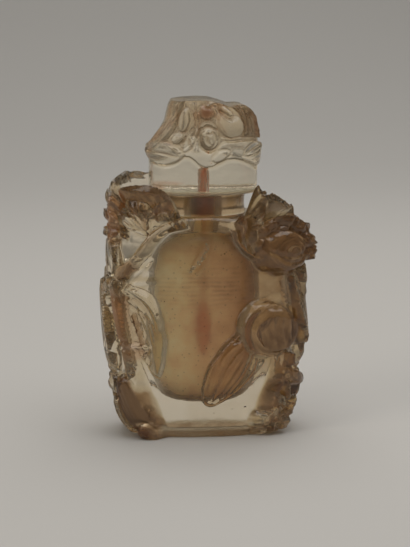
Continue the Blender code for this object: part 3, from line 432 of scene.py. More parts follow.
def carve_stopper(sheet):
    """The stopper: a smooth block below, and over it a draped rim with lobes, a hanging drop, a boss with an
    eye, a leaf and ribs."""
    # The wavy lower edge of the drape, from the middle of the back round to it again.
    edge_u = [-29, -26, -23, -20, -17, -14, -12, -9.9, -8.3, -6.8, -5.1, -3.4, -2.3, -1.4, -0.1, 1.4, 2.9,
              4.7, 6.2, 7.9, 9.6, 12, 14, 17, 20, 23, 26, 29]
    edge_v = [7.4, 6.2, 7.5, 6.2, 7.4, 6.9, 6.8, 6.5, 6.7, 7.4, 8.1, 8.0, 7.2, 6.3, 5.7, 5.9, 6.6, 7.4, 7.5,
              7.1, 6.4, 5.4, 5.6, 7.2, 6.0, 7.3, 6.0, 7.4]
    border = np.interp(sheet.u, edge_u, edge_v, period=sheet.girth)
    low = ease((sheet.v - border) / 0.5)
    sheet.height = STOPPER_BLOCK_LEVEL + (0.42 - STOPPER_BLOCK_LEVEL) * low
    sheet.smoke = 0.16 * ease((sheet.v - border) / 4.0)
    # The smooth drape above the edge, up to the ledge under the boss and round the hanging drop.
    ledge_u = [-29, -14, -6, -3.4, -2.6, -1.7, -1.0, 0.8, 2.3, 3.3, 4.4, 10.5, 13, 16, 29]
    ledge_v = [11.0, 9.0, 9.0, 11.0, 12.6, 12.0, 10.2, 9.3, 9.9, 11.2, 12.0, 12.3, 12.0, 10.5, 11.0]
    ledge = np.interp(sheet.u, ledge_u, ledge_v, period=sheet.girth)
    sheet.lay(np.minimum(sheet.v - border, ledge - sheet.v), 0.9, 0.03)
    # The left side: a broad lobe that bulges at the edge, one above it and a rounded petal.
    blade(sheet, (-4.6, 8.6), (-14.6, 10.4), 2.9, 0.98, end=1.1, bend=0.4, full=1.1, blunt=0.45, cup=0.06,
          smoke=0.1)
    blade(sheet, (-8.2, 16.8), (-13.0, 9.6), 2.3, 0.86, end=1.04, bend=-0.6, full=1.1, blunt=0.5, smoke=0.4)
    dome(sheet, (-6.5, 12.3), 1.7, 1.6, 0.98, drop=0.2, smoke=0.12)
    dome(sheet, (-5.9, 15.9), 1.9, 2.8, 1.0, drop=0.22, smoke=0.08)
    blade(sheet, (-9.6, 15.6), (-7.6, 20.6), 1.2, 0.9, end=0.86, full=1.1, blunt=0.5, vein=0.2, smoke=0.45)
    blade(sheet, (-4.6, 9.2), (-2.0, 14.6), 1.3, 0.76, end=0.84, full=0.9, blunt=0.5, smoke=0.12)
    # Two brown curls and the stained hollow over the drop.
    dome(sheet, (0.4, 17.4), 2.5, 1.7, 0.6, drop=0.1, smoke=0.9)
    stem(sheet, [(-3.2, 17.4), (-2.6, 15.4), (-3.1, 13.0)], 0.5, 0.84, smoke=0.7)
    stem(sheet, [(-1.9, 17.0), (-1.4, 15.0), (-2.1, 12.9)], 0.5, 0.82, smoke=0.75)
    # The hanging drop with a lip across its top.
    dome(sheet, (0.8, 12.4), 2.2, 3.2, 1.02, drop=0.1, smoke=0.1)
    dome(sheet, (0.6, 12.0), 1.5, 2.2, 1.1, drop=0.1, smoke=0.06)
    stem(sheet, [(-1.2, 14.4), (0.5, 15.3), (2.4, 14.6)], 0.5, 1.02, smoke=0.4)
    # The boss, its eye and the brow over it.
    dome(sheet, (5.6, 15.7), 2.9, 2.9, 1.06, drop=0.26, smoke=0.15)
    dome(sheet, (5.4, 18.6), 1.5, 1.4, 1.0, drop=0.2, rings=1, ring=0.24, smoke=0.3)
    stem(sheet, [(0.6, 18.9), (3.6, 20.0), (7.8, 19.9), (9.4, 18.2)], 0.5, 0.92, smoke=0.35)
    # Ribs at the right end and the leaf below them.
    for u in (8.7, 9.8, 10.9, 12.2, 13.6):
        stem(sheet, [(u, 19.6), (u + 0.4, 16.4), (u, 13.2)], 0.42, 0.96, smoke=0.5)
    blade(sheet, (8.0, 8.4), (13.6, 11.8), 1.5, 1.02, end=1.04, full=1.0, blunt=0.5, vein=0.2, smoke=0.06)
    blade(sheet, (1.4, 7.2), (4.8, 9.6), 1.2, 1.0, end=1.02, full=1.0, blunt=0.4, smoke=0.06)
    # The hidden side: two plain lobes and a leaf between them.
    middle = sheet.girth / 2
    for side in (1, -1):
        dome(sheet, (middle + side * 7.0, 15.0), 4.2, 4.2, 1.0, drop=0.25, smoke=0.2)
        blade(sheet, (middle + side * 4.5, 9.0), (middle + side * 11.5, 11.0), 1.6, 0.98, full=1.0,
              vein=0.15, smoke=0.1)
    blade(sheet, (middle, 9.4), (middle, 20.0), 2.2, 0.95, end=0.9, vein=0.15, smoke=0.3)


def sheet_points(u, v, height, table):
    """Points of the carved side, between the smooth body and the skin."""
    angle = np.interp(np.mod(u, table[1][-1]), table[1], table[0])
    low, high = ground(v), crest(v)
    width, depth, level = [a + (b - a) * height for a, b in zip(low, high)]
    near_neck = ease((v - SHOULDER_HEIGHT) / (SPAN_TOP - SHOULDER_HEIGHT))
    power = PLAN_POWER + (2.0 - PLAN_POWER) * near_neck
    # The carving stands further out at the right end.
    width = width + CARVING_LEAN * height * ease(np.cos(angle) * 1.4) * (1 - near_neck)
    return np.stack([width * signed_power(np.cos(angle), power),
                     depth * signed_power(np.sin(angle), power), level], axis=-1)


def stopper_points(u, v, height, table):
    """Points of the stopper's side and top; v runs up the side and on to the middle of the top."""
    angle = np.interp(np.mod(u, table[1][-1]), table[1], table[0])
    side = np.minimum(v, STOPPER_HEIGHT)
    # The left edge bulges out above the block and then leans in; the right edge stays full.
    share = side / STOPPER_HEIGHT
    left = np.interp(share, [0, 0.36, 0.46, 0.54, 0.66, 0.78, 0.95, 1.0],
                     [0.98, 0.98, 1.01, 0.98, 0.86, 0.75, 0.68, 0.67])
    right = np.interp(share, [0, 0.26, 0.40, 0.60, 0.76, 0.90, 0.97, 1.0],
                      [0.99, 0.99, 1.02, 1.05, 1.04, 0.98, 0.88, 0.78])
    deep = np.interp(share, [0, 0.4, 0.7, 1.0], [1.0, 0.98, 0.92, 0.74])
    bevel = FOOT_BEVEL * np.clip(1 - v / FOOT_BEVEL, 0, 1)
    cut = STOPPER_CUT * (STOPPER_BLOCK_LEVEL - height)
    toward_right = 0.5 + 0.5 * np.tanh(3.0 * np.cos(angle))
    width = STOPPER_HALF_WIDTH * (left + (right - left) * toward_right) - cut - bevel
    depth = STOPPER_HALF_DEPTH * deep - cut - bevel
    over = np.clip((v - STOPPER_HEIGHT) / STOPPER_TOP_SPAN, 0, 1)
    inward = (1 - over) * (1 - 0.05 * ease((v - STOPPER_HEIGHT + 1.2) / 1.2))
    x = width * inward * signed_power(np.cos(angle), STOPPER_POWER)
    y = depth * inward * signed_power(np.sin(angle), STOPPER_POWER)
    # The top is highest left of the middle, dips right of it and ends in a low lump.
    fall = np.interp(x, [-10, -7, -4, -1, 1.5, 3.5, 5.4, 7.2, 9.2, 11, 12.5],
                     [0.5, 0.25, 0.1, 0.0, 0.15, 0.7, 1.35, 1.15, 1.2, 1.7, 2.3])
    level = side - fall * ease((side - STOPPER_BLOCK) / 8)
    return np.stack([x, y, STOPPER_BASE + level], axis=-1)


# How finely the crystal is made here: columns at the front and at the back, and rows up the side.
FRONT_COLUMNS = 288
BACK_COLUMNS = 96
SHEET_ROWS = 222
STOPPER_COLUMNS = 380
STOPPER_ROWS = 210
COLUMN_STEP = 4

# Finishes that follow no carving, as smoke, iron stain and satin; and how far the underside is dished.
NECK_STAIN = (0.3, 0.2, 0.4)
FOOT_STAIN = (0.3, 0.0, 0.6)
CROWN_STAIN = (0.1, 0.0, 0.2)
FOOT_DISH = 0.3

# How much each bends light.
QUARTZ_IOR = 1.544
BONE_IOR = 1.5


class Shell:
    """A closed mesh made ring by ring; a ring may have a whole factor fewer points than its neighbour."""

    def __init__(self):
        self.points, self.faces, self.finish_of, self.stain = [], [], [], []
        self.last = None
        self.finish = 0

    def add(self, points, stain=(0.0, 0.0, 0.0)):
        """Adds points with their smoke, iron stain and satin, and gives back their numbers."""
        first = len(self.points)
        self.points.extend(tuple(c * MM for c in p) for p in points)
        self.stain.extend(np.broadcast_to(stain, (len(points), 3)).ravel().tolist())
        return list(range(first, len(self.points)))

    def ring(self, points, stain=(0.0, 0.0, 0.0)):
        new = self.add(points, stain)
        if self.last is not None:
            if len(self.last) >= len(new):
                self.join(self.last, new, False)
            else:
                self.join(new, self.last, True)
        self.last = new

    def face(self, corners, turned):
        self.faces.append(tuple(reversed(corners)) if turned else tuple(corners))
        self.finish_of.append(self.finish)

    def join(self, many, few, turned):
        step = len(many) // len(few)
        if step == 1:
            for k in range(len(few)):
                after = (k + 1) % len(few)
                self.face((many[k], many[after], few[after], few[k]), turned)
            return
        for k in range(len(few)):
            after = (k + 1) % len(few)
            for j in range(step):
                i = k * step + j
                near = few[k if j < (step + 1) // 2 else after]
                self.face((many[i], many[(i + 1) % len(many)], near), turned)
            self.face((many[(k * step + (step + 1) // 2) % len(many)], few[after], few[k]), turned)

    def close(self, point, turned, stain=(0.0, 0.0, 0.0)):
        tip = self.add([point], stain)[0]
        for k in range(len(self.last)):
            self.face((self.last[k], self.last[(k + 1) % len(self.last)], tip), turned)

    def start(self, point, points, stain=(0.0, 0.0, 0.0)):
        first = self.add(points, stain)
        self.last = first
        self.close(point, True, stain)

    def make(self, name, finishes, sharp=50):
        data = bpy.data.meshes.new(name)
        data.from_pydata(self.points, [], self.faces)
        mesh = bmesh.new()
        mesh.from_mesh(data)
        bmesh.ops.recalc_face_normals(mesh, faces=mesh.faces)
        mesh.to_mesh(data)
        mesh.free()
        for finish in finishes:
            data.materials.append(finish)
        data.polygons.foreach_set("material_index", self.finish_of)
        stain = data.attributes.new("stain", "FLOAT_VECTOR", "POINT")
        stain.data.foreach_set("vector", self.stain)
        data.shade_smooth()
        data.set_sharp_from_angle(angle=math.radians(sharp))
        piece = bpy.data.objects.new(name, data)
        bpy.context.scene.collection.objects.link(piece)
        return piece


def soften(values, times=1):
    """Rounds the cut edges over neighbouring points, round the side and up it."""
    for _ in range(times):
        values = (values * 2 + np.roll(values, 1, axis=1) + np.roll(values, -1, axis=1)) / 4
        inner = (values[1:-1] * 2 + values[:-2] + values[2:]) / 4
        values = np.vstack([values[:1], inner, values[-1:]])
    return values


def oval(half_width, half_depth, level, angles, power=2.0):
    return np.stack([half_width * signed_power(np.cos(angles), power),
                     half_depth * signed_power(np.sin(angles), power), np.full(len(angles), level)], axis=-1)


def even_angles(count):
    return -math.pi / 2 + np.arange(count) * math.tau / count


def colour(code):
    """An sRGB hex colour as the linear numbers that the shaders take."""
    parts = [int(code[k:k + 2], 16) / 255 for k in (1, 3, 5)]
    return tuple(c / 12.92 if c <= 0.04045 else ((c + 0.055) / 1.055) ** 2.4 for c in parts) + (1.0,)


def add(tree, kind, inputs=None, **settings):
    """Adds a node; inputs are values, or sockets to link from."""
    made = tree.nodes.new(kind)
    for name, value in settings.items():
        setattr(made, name, value)
    for key, value in (inputs or {}).items():
        if isinstance(value, bpy.types.NodeSocket):
            tree.links.new(value, made.inputs[key])
        else:
            made.inputs[key].default_value = value
    return made


def reckon(tree, operation, *values, clamp=False):
    """A Math node on sockets or numbers."""
    return add(tree, "ShaderNodeMath", dict(enumerate(values)), operation=operation,
               use_clamp=clamp).outputs[0]


def rescale(tree, value, low, high, to_low=0.0, to_high=1.0):
    """Turns the range low to high into another, and stays inside it."""
    return add(tree, "ShaderNodeMapRange", {"Value": value, "From Min": low, "From Max": high,
                                            "To Min": to_low, "To Max": to_high}).outputs["Result"]


def noise(tree, place, scale, detail, roughness=0.5):
    return add(tree, "ShaderNodeTexNoise", {"Vector": place, "Scale": scale, "Detail": detail,
                                            "Roughness": roughness}).outputs["Fac"]


def split(tree, vector):
    return add(tree, "ShaderNodeSeparateXYZ", {"Vector": vector}).outputs


def drawn_out(tree, place, share):
    """Places for a pattern that is drawn out along Z."""
    return add(tree, "ShaderNodeMapping", {"Vector": place, "Scale": (1.0, 1.0, share)}).outputs[0]


def ramp(tree, factor, stops):
    made = add(tree, "ShaderNodeValToRGB", {"Fac": factor})
    while len(made.color_ramp.elements) < len(stops):
        made.color_ramp.elements.new(0.5)
    for element, (place, code) in zip(made.color_ramp.elements, stops):
        element.position = place
        element.color = colour(code)
    return made.outputs["Color"]


def start_material(name):
    material = bpy.data.materials.new(name)
    material.use_nodes = True
    tree = material.node_tree
    tree.nodes.clear()
    output = add(tree, "ShaderNodeOutputMaterial")
    shader = add(tree, "ShaderNodeBsdfPrincipled")
    tree.links.new(shader.outputs["BSDF"], output.inputs["Surface"])
    place = add(tree, "ShaderNodeTexCoord").outputs["Object"]
    return material, tree, shader, place


def dress(tree, shader, values, height=None, strength=0.0, distance=0.0):
    """Sets or links the shader's own values, and raises its surface by a height in metres."""
    if height is not None:
        values["Normal"] = add(tree, "ShaderNodeBump", {"Height": height, "Strength": strength,
                                                        "Distance": distance}).outputs["Normal"]
    for key, value in values.items():
        if isinstance(value, bpy.types.NodeSocket):
            tree.links.new(value, shader.inputs[key])
        else:
            shader.inputs[key].default_value = value


def smoky_quartz(name, clear, light_smoke, smoke_colour, deep):
    """Rock crystal, cut and polished; the brown skin left in the relief is warm and half see-through."""
    material, tree, shader, place = start_material(name)
    smoke, iron, satin = split(tree, add(tree, "ShaderNodeAttribute",
                                         attribute_name="stain").outputs["Vector"])
    # Clouding in the skin, about 3 mm across.
    patchy = rescale(tree, noise(tree, place, 330.0, 4.0, 0.6), 0.3, 0.7, 0.75, 1.15)
    depth = reckon(tree, "MULTIPLY", smoke, patchy, clamp=True)
    tint = ramp(tree, depth, [(0.0, clear), (0.22, light_smoke), (0.55, smoke_colour), (1.0, deep)])
    # Iron in the natural skin turns some edges orange-red and less see-through.
    rust = ramp(tree, iron, [(0.0, "#FFFFFF"), (1.0, "#F8B896")])
    coloured = add(tree, "ShaderNodeVectorMath", {0: tint, 1: rust}, operation="MULTIPLY").outputs[0]
    in_smoke = rescale(tree, depth, 0.3, 1.0, 1.0, 0.45)
    see_through = reckon(tree, "MULTIPLY_ADD", iron, -0.5, in_smoke, clamp=True)
    # Polished where it is clear, a little duller on the brown skin, satin where it was only ground.
    polish = rescale(tree, depth, 0.0, 1.0, 0.02, 0.15)
    rough = reckon(tree, "MULTIPLY_ADD", satin, 0.3, polish)
    # Hand polish leaves a faint swell about 2 mm across, and finer drag marks near 0.4 mm.
    swell_of = noise(tree, place, 520.0, 2.0)
    both = reckon(tree, "MULTIPLY_ADD", noise(tree, place, 2400.0, 2.0), 0.18, swell_of)
    dress(tree, shader, {"Base Color": coloured, "Transmission Weight": see_through, "Roughness": rough,
                         "IOR": QUARTZ_IOR}, both, 0.25, 0.0003)
    return material


def stained_hollow():
    """The hollow's wall, ground and stained by snuff: satin, straw at the left, brown at the right."""
    material, tree, shader, place = start_material("snuff_stained_ground_crystal")
    parts = split(tree, place)
    across = rescale(tree, parts["X"], -0.010, 0.010)
    drift = noise(tree, place, 230.0, 6.0)
    mixed = reckon(tree, "MULTIPLY_ADD", drift, 2.4, across)
    stain = ramp(tree, rescale(tree, mixed, 1.0, 2.25), [(0.0, "#FBF0C8"), (0.35, "#F6DBA8"),
                                                         (0.65, "#EEC494"), (1.0, "#DAAA7A")])
    # Fine marks left by the grinding tool near the belt, in broken runs about 0.5 mm apart.
    marks = add(tree, "ShaderNodeTexWave", {"Vector": place, "Scale": 330.0, "Distortion": 2.5,
                                            "Detail": 2.0,
                                            "Detail Scale": 0.5}, bands_direction="Z").outputs["Fac"]
    from_belt = reckon(tree, "ABSOLUTE", reckon(tree, "ADD", parts["Z"], -0.033))
    band = rescale(tree, from_belt, 0.002, 0.006, 1.0, 0.12)
    broken = rescale(tree, drift, 0.42, 0.6)
    cut = reckon(tree, "MULTIPLY", marks, reckon(tree, "MULTIPLY", band, broken))
    # Specks of snuff dried on the wall, 0.1 to 0.3 mm across.
    specks = add(tree, "ShaderNodeTexVoronoi", {"Vector": place, "Scale": 900.0, "Randomness": 1.0})
    spot = rescale(tree, specks.outputs["Distance"], 0.08, 0.2, 0.55, 1.0)
    shade = rescale(tree, cut, 0.0, 1.0, 1.0, 0.78)
    both = reckon(tree, "MULTIPLY", spot, shade)
    marked = add(tree, "ShaderNodeVectorMath", {0: stain, "Scale": both}, operation="SCALE").outputs[0]
    dress(tree, shader, {"Base Color": marked, "Transmission Weight": 0.92, "Roughness": 0.5,
                         "IOR": QUARTZ_IOR}, cut, 0.4, 0.0002)
    return material


def dark_cork():
    """Cork stained nearly black by snuff and oil: matt, with red-brown grain, redder at its right."""
    material, tree, shader, place = start_material("stained_cork")
    grain = add(tree, "ShaderNodeTexVoronoi", {"Vector": place, "Scale": 1500.0}).outputs["Distance"]
    patches = noise(tree, place, 420.0, 4.0)
    redder = rescale(tree, split(tree, place)["X"], -0.0026, -0.0004, -0.3, 0.4)
    tint = ramp(tree, reckon(tree, "ADD", patches, redder), [(0.0, "#1A0B04"), (0.4, "#4A1F08"),
                                                             (0.65, "#A84C16"), (1.0, "#D06A2C")])
    dress(tree, shader, {"Base Color": tint, "Roughness": 0.7}, grain, 0.6, 0.0003)
    return material


def stained_bone():
    """Thin bone stained red-brown: translucent, with long pores along the shaft."""
    material, tree, shader, place = start_material("stained_bone")
    pores = noise(tree, drawn_out(tree, place, 0.12), 3200.0, 3.0)
    tint = ramp(tree, pores, [(0.3, "#F4A880"), (0.5, "#FDC4A2"), (0.75, "#FFDCC4")])
    # Snuff reddens the bowl and the end in the stopper; the shaft between them stays paler.
    level = rescale(tree, split(tree, place)["Z"], 0.02, 0.06)
    redder = ramp(tree, level, [(0.18, "#FFFFFF"), (0.32, "#505050"), (0.74, "#505050"), (0.84, "#FFFFFF")])
    mixed = add(tree, "ShaderNodeMix", {0: redder, 6: colour("#FFF4E6"), 7: tint},
                data_type="RGBA").outputs[2]
    # So thin a shaft lets most of the light through, scattered.
    dress(tree, shader, {"Base Color": mixed, "Transmission Weight": 0.95, "Roughness": 0.6,
                         "IOR": BONE_IOR},
          pores, 0.2, 0.0001)
    return material


def stained_drill_hole():
    """The stopper's drilled hole: satin from the drill and stained orange by the cork and the spoon."""
    material, tree, shader, place = start_material("stained_drill_hole")
    streaks = noise(tree, drawn_out(tree, place, 0.2), 2600.0, 3.0)
    tint = ramp(tree, streaks, [(0.35, "#FFB48C"), (0.5, "#FFCFB0"), (0.7, "#FFE6D2")])
    dress(tree, shader, {"Base Color": tint, "Transmission Weight": 0.55, "Roughness": 0.4,
                         "IOR": QUARTZ_IOR})
    return material


def ground_underside_painted_shade():
    """The stopper's flat underside, left ground: seen through the block it is a dull grey-green band, and its
    grey-green, half see-through colour is a painted reflection of the dark neck.
    """
    material, tree, shader, _ = start_material("ground_underside_painted_shade")
    dress(tree, shader, {"Base Color": colour("#C0BEA8"), "Transmission Weight": 0.4, "Roughness": 0.5,
                         "IOR": QUARTZ_IOR})
    return material


def grainy(name, dark, pale, rough, mirror=0.0):
    """Mineral or snuff grains, uneven in tone; a film of gas in a healed crack flashes like a mirror."""
    material, tree, shader, place = start_material(name)
    tint = ramp(tree, noise(tree, place, 1800.0, 2.0), [(0.35, dark), (0.65, pale)])
    dress(tree, shader, {"Base Color": tint, "Roughness": rough, "Metallic": mirror})
    return material


def plain(name, code, rough):
    """One even colour, dull like uncoated paper."""
    material, tree, shader, _ = start_material(name)
    dress(tree, shader, {"Base Color": colour(code), "Roughness": rough})
    return material


def cloud_ground(sheet):
    """Smoky clouds in the smooth body itself: right of the hollow, over the shoulder and thinly all round."""
    sheet.smoke[:] = 0.085
    middle = sheet.girth / 2
    for patch in (((19.5, 32.0), 10.0, 15.0, 0.5), ((middle - 18.0, 32.0), 9.0, 15.0, 0.35),
                  ((0.0, 54.0), 15.0, 9.0, 0.3), ((9.0, 50.0), 8.0, 8.0, 0.4)):
        sheet.shade(sheet.smoke, *patch)


def clear_the_left(sheet):
    """Behind the clear leaves of the front's left side the back and the left end are nearly clear too."""
    left = ease((-sheet.u - sheet.girth / 4 + 3) / 3) + ease((sheet.u - sheet.girth / 2 - 2) / 4)
    sheet.smoke *= 1 - 0.88 * np.clip(left, 0, 1)


def finish_front(sheet):
    """Fine lines cut in the front's flowers and leaves, darkened with painted shade, and the colour of single
    leaves.
    """
    # The strip at the right of the neck, the curled rim beside it and the vein of the clear leaf behind.
    for places in ([(12.0, 42.0), (12.6, 49.0), (15.4, 56.0)], [(13.1, 42.6), (13.9, 48.6), (15.8, 53.6)],
                   [(9.5, 43.4), (9.3, 47.6), (10.0, 51.6)], [(14.4, 54.0), (17.4, 52.6), (19.2, 50.4)]):
        score(sheet, places)
    # The fan flower: fine lines spread from its foot over each petal.
    for tip in ((-20.4, 47.2), (-21.6, 48.6), (-20.0, 52.0), (-18.6, 54.0), (-16.6, 54.6), (-15.6, 52.6)):
        bend = (-14.8 + (tip[0] + 14.8) * 0.5 - 0.4, 45.2 + (tip[1] - 45.2) * 0.55)
        score(sheet, [(-14.8, 45.4), bend, tip], 0.06)
    score(sheet, arc((-11.6, 49.7), 2.9, 2.9, 190, 0), 0.1)
    score(sheet, arc((-11.6, 49.9), 1.7, 1.6, 210, -30), 0.08)
    score(sheet, [(-16.9, 48.2), (-19.4, 49.9), (-22.0, 50.0)], 0.1)
    score(sheet, [(-15.0, 46.0), (-14.9, 49.0), (-14.2, 51.6)], 0.1)
    for k in range(6):
        score(sheet, [(-24.0 - 0.3 * k, 44.0 + 1.8 * k), (-27.5, 45.2 + 1.8 * k)], 0.1)
    # The branch, twisted, and its knot.
    for shift in (-0.35, 0.4):
        score(sheet, [(-7.0 + shift, 48.6 - shift), (-13.8 + shift, 44.0 - shift),
                      (-21.5 + shift, 35.2 - shift)], 0.07)
    score(sheet, arc((-21.2, 35.2), 1.4, 1.2, 20, 200))
    # Small clear leaves from the knot.
    for tip in ((-15.6, 37.6), (-14.8, 38.9), (-17.2, 39.2)):
        score(sheet, [(-21.0, 34.6), (-18.4, 36.9), tip], 0.07)
    score(sheet, [(-21.0, 33.9), (-17.0, 34.9), (-13.2, 34.9)], 0.08)
    # The hanging leaf on the left: a midrib, folds beside it and short side veins.
    for tip_u, reach in ((-13.3, 0.0), (-14.4, -1.1), (-15.6, -2.3), (-12.4, 1.0)):
        score(sheet, [(-21.8, 31.4), (-17.0 + reach, 29.6 + reach * 0.4), (-14.2 + reach, 23.5),
                      (tip_u, 15.4)], 0.07)
    for k in range(6):
        score(sheet, [(-17.4 + 0.75 * k, 28.6 - 2.1 * k), (-18.2 + 0.55 * k, 25.2 - 1.9 * k)], 0.08)
    # Long cuts down the red stem, and the knots below it.
    for shift in (-0.7, 0.0, 0.7):
        score(sheet, [(-21.7 + shift, 32.8), (-19.9 + shift, 24.2), (-18.2 + shift, 16.4),
                      (-17.4 + shift, 12.0)], 0.08)
    score(sheet, arc((-24.2, 11.6), 1.5, 1.5, 30, 300), 0.12)
    score(sheet, arc((-20.4, 13.0), 1.0, 1.1, -40, 220), 0.12)
    # The pod: long folds, a paler band and its cap.
    for shift in (-1.9, -0.9, 0.5, 1.6):
        score(sheet, [(-19.3 + shift, 12.4), (-17.6 + shift, 7.0), (-15.9 + shift * 0.8, 2.2)], 0.07)
    sheet.shade(sheet.smoke, (-16.6, 3.4), 3.6, 0.5, 0.35, turn=8)
    score(sheet, [(-19.4, 3.3), (-16.4, 4.1), (-13.2, 3.2)], 0.12)
    score(sheet, [(-19.0, 2.0), (-16.2, 2.8), (-13.4, 2.0)], 0.12)
    # The blossom: folds in its bowl, and curled rims on its petals.
    score(sheet, arc((18.2, 42.4), 5.2, 2.7, 195, 345), 0.12)
    score(sheet, arc((18.4, 42.0), 4.2, 3.4, 205, 330), 0.1)
    score(sheet, arc((18.0, 41.0), 5.4, 4.6, 170, 20), 0.1)
    score(sheet, arc((18.2, 42.0), 6.3, 5.4, 195, 320), 0.12)
    score(sheet, arc((17.8, 42.6), 7.6, 6.4, 205, 300), 0.09)
    for places in ([(12.6, 47.2), (14.2, 49.0), (17.0, 49.6)], [(18.2, 49.2), (20.8, 49.2), (23.2, 47.2)],
                   [(22.6, 45.6), (25.0, 45.4), (26.6, 43.6)], [(23.0, 42.0), (25.4, 40.6), (26.6, 38.4)],
                   [(24.0, 43.0), (25.8, 42.0), (27.4, 40.2)], [(13.2, 44.6), (12.0, 46.6), (12.6, 48.8)],
                   [(15.6, 46.2), (16.4, 48.0), (16.2, 50.0)], [(19.6, 46.0), (20.8, 47.6), (22.6, 48.8)],
                   [(12.6, 39.4), (12.4, 41.6), (13.4, 43.6)]):
        score(sheet, places, 0.12)
    # The curved boundary of the blossom's leaf beside the hollow.
    score(sheet, [(7.4, 46.4), (8.0, 42.6), (10.4, 39.8), (14.0, 37.8)], 0.1)
    # Stems and leaves down the right edge.
    for shift in (-0.8, 0.0, 0.9):
        score(sheet, [(20.6 + shift, 35.5), (23.4 + shift, 29.0), (25.6 + shift * 0.6, 21.5)], 0.09)
    score(sheet, [(20.2, 35.8), (20.9, 32.5), (21.2, 30.0)], 0.09)
    # The ribbed hanging leaf has a breath of pink; the round flower is a nest of folds.
    sheet.shade(sheet.iron, (5.5, 14.0), 3.0, 8.5, 0.08, turn=-48)
    for places in ([(6.6, 22.3), (2.2, 17.0), (-0.2, 11.2)], [(8.6, 21.7), (4.2, 16.2), (0.6, 9.0)],
                   [(10.0, 20.0), (6.4, 14.4), (2.4, 8.4)], [(11.4, 18.4), (9.2, 13.6), (5.6, 9.6)],
                   [(12.4, 18.0), (11.4, 14.6), (8.4, 11.2)]):
        score(sheet, places, 0.12, 0.32)
    for oval_part in (((14.9, 23.7), 5.7, 5.6, 120, 300), ((15.4, 23.0), 3.6, 3.9, 150, 290),
                      ((13.6, 25.4), 5.0, 3.6, 55, 140), ((14.6, 24.4), 4.4, 3.4, 40, 165)):
        score(sheet, arc(*oval_part), 0.12)
    for places in ([(13.1, 26.4), (12.8, 23.4), (13.6, 20.6)], [(14.8, 27.0), (14.3, 23.6), (15.1, 19.9)],
                   [(16.3, 26.6), (16.1, 24.0), (16.9, 20.6)], [(17.8, 26.0), (17.9, 23.4), (18.1, 21.4)],
                   [(11.4, 25.2), (11.2, 23.2), (12.0, 21.2)]):
        score(sheet, places, 0.07, 0.3, 0.7)
    # The lower right: long folds in the stems and round the small flower.
    for places in ([(17.6, 17.6), (17.0, 12.0), (15.9, 6.6)], [(18.9, 17.6), (18.2, 12.0), (16.9, 7.0)],
                   [(18.4, 14.9), (21.6, 14.4), (24.6, 12.0)], [(19.4, 9.4), (18.6, 6.4), (19.2, 3.4)],
                   [(22.0, 8.2), (21.2, 5.4), (21.4, 2.4)], [(20.4, 8.4), (19.9, 5.6), (20.3, 2.8)]):
        score(sheet, places, 0.1)
    score(sheet, arc((18.3, 3.8), 2.4, 1.9, 20, 330), 0.1)
    # A faint leaf over the hollow, in lines that stand out by a hair.
    for places in ([(-7.2, 42.6), (-3.2, 44.3), (1.6, 43.9)],
                   [(1.6, 43.9), (0.9, 40.6), (-1.2, 37.6), (-3.9, 35.4)],
                   [(1.2, 43.4), (-1.8, 40.6), (-4.4, 36.6)]):
        score(sheet, places, -0.09, 0.28, 0.12)
    # Iron red in the left stem, in the ruffled edge of the fan flower, by the neck and in the pod's cap.
    for patch in (((-20.6, 26.0), 1.5, 8.0, 0.6, 12), ((-18.0, 19.6), 2.6, 2.2, 0.45),
                  ((-25.0, 49.0), 2.6, 7.5, 0.6), ((-16.0, 1.6), 2.4, 1.3, 0.35),
                  ((-12.0, 51.6), 3.0, 2.0, 0.25)):
        sheet.shade(sheet.iron, *patch)


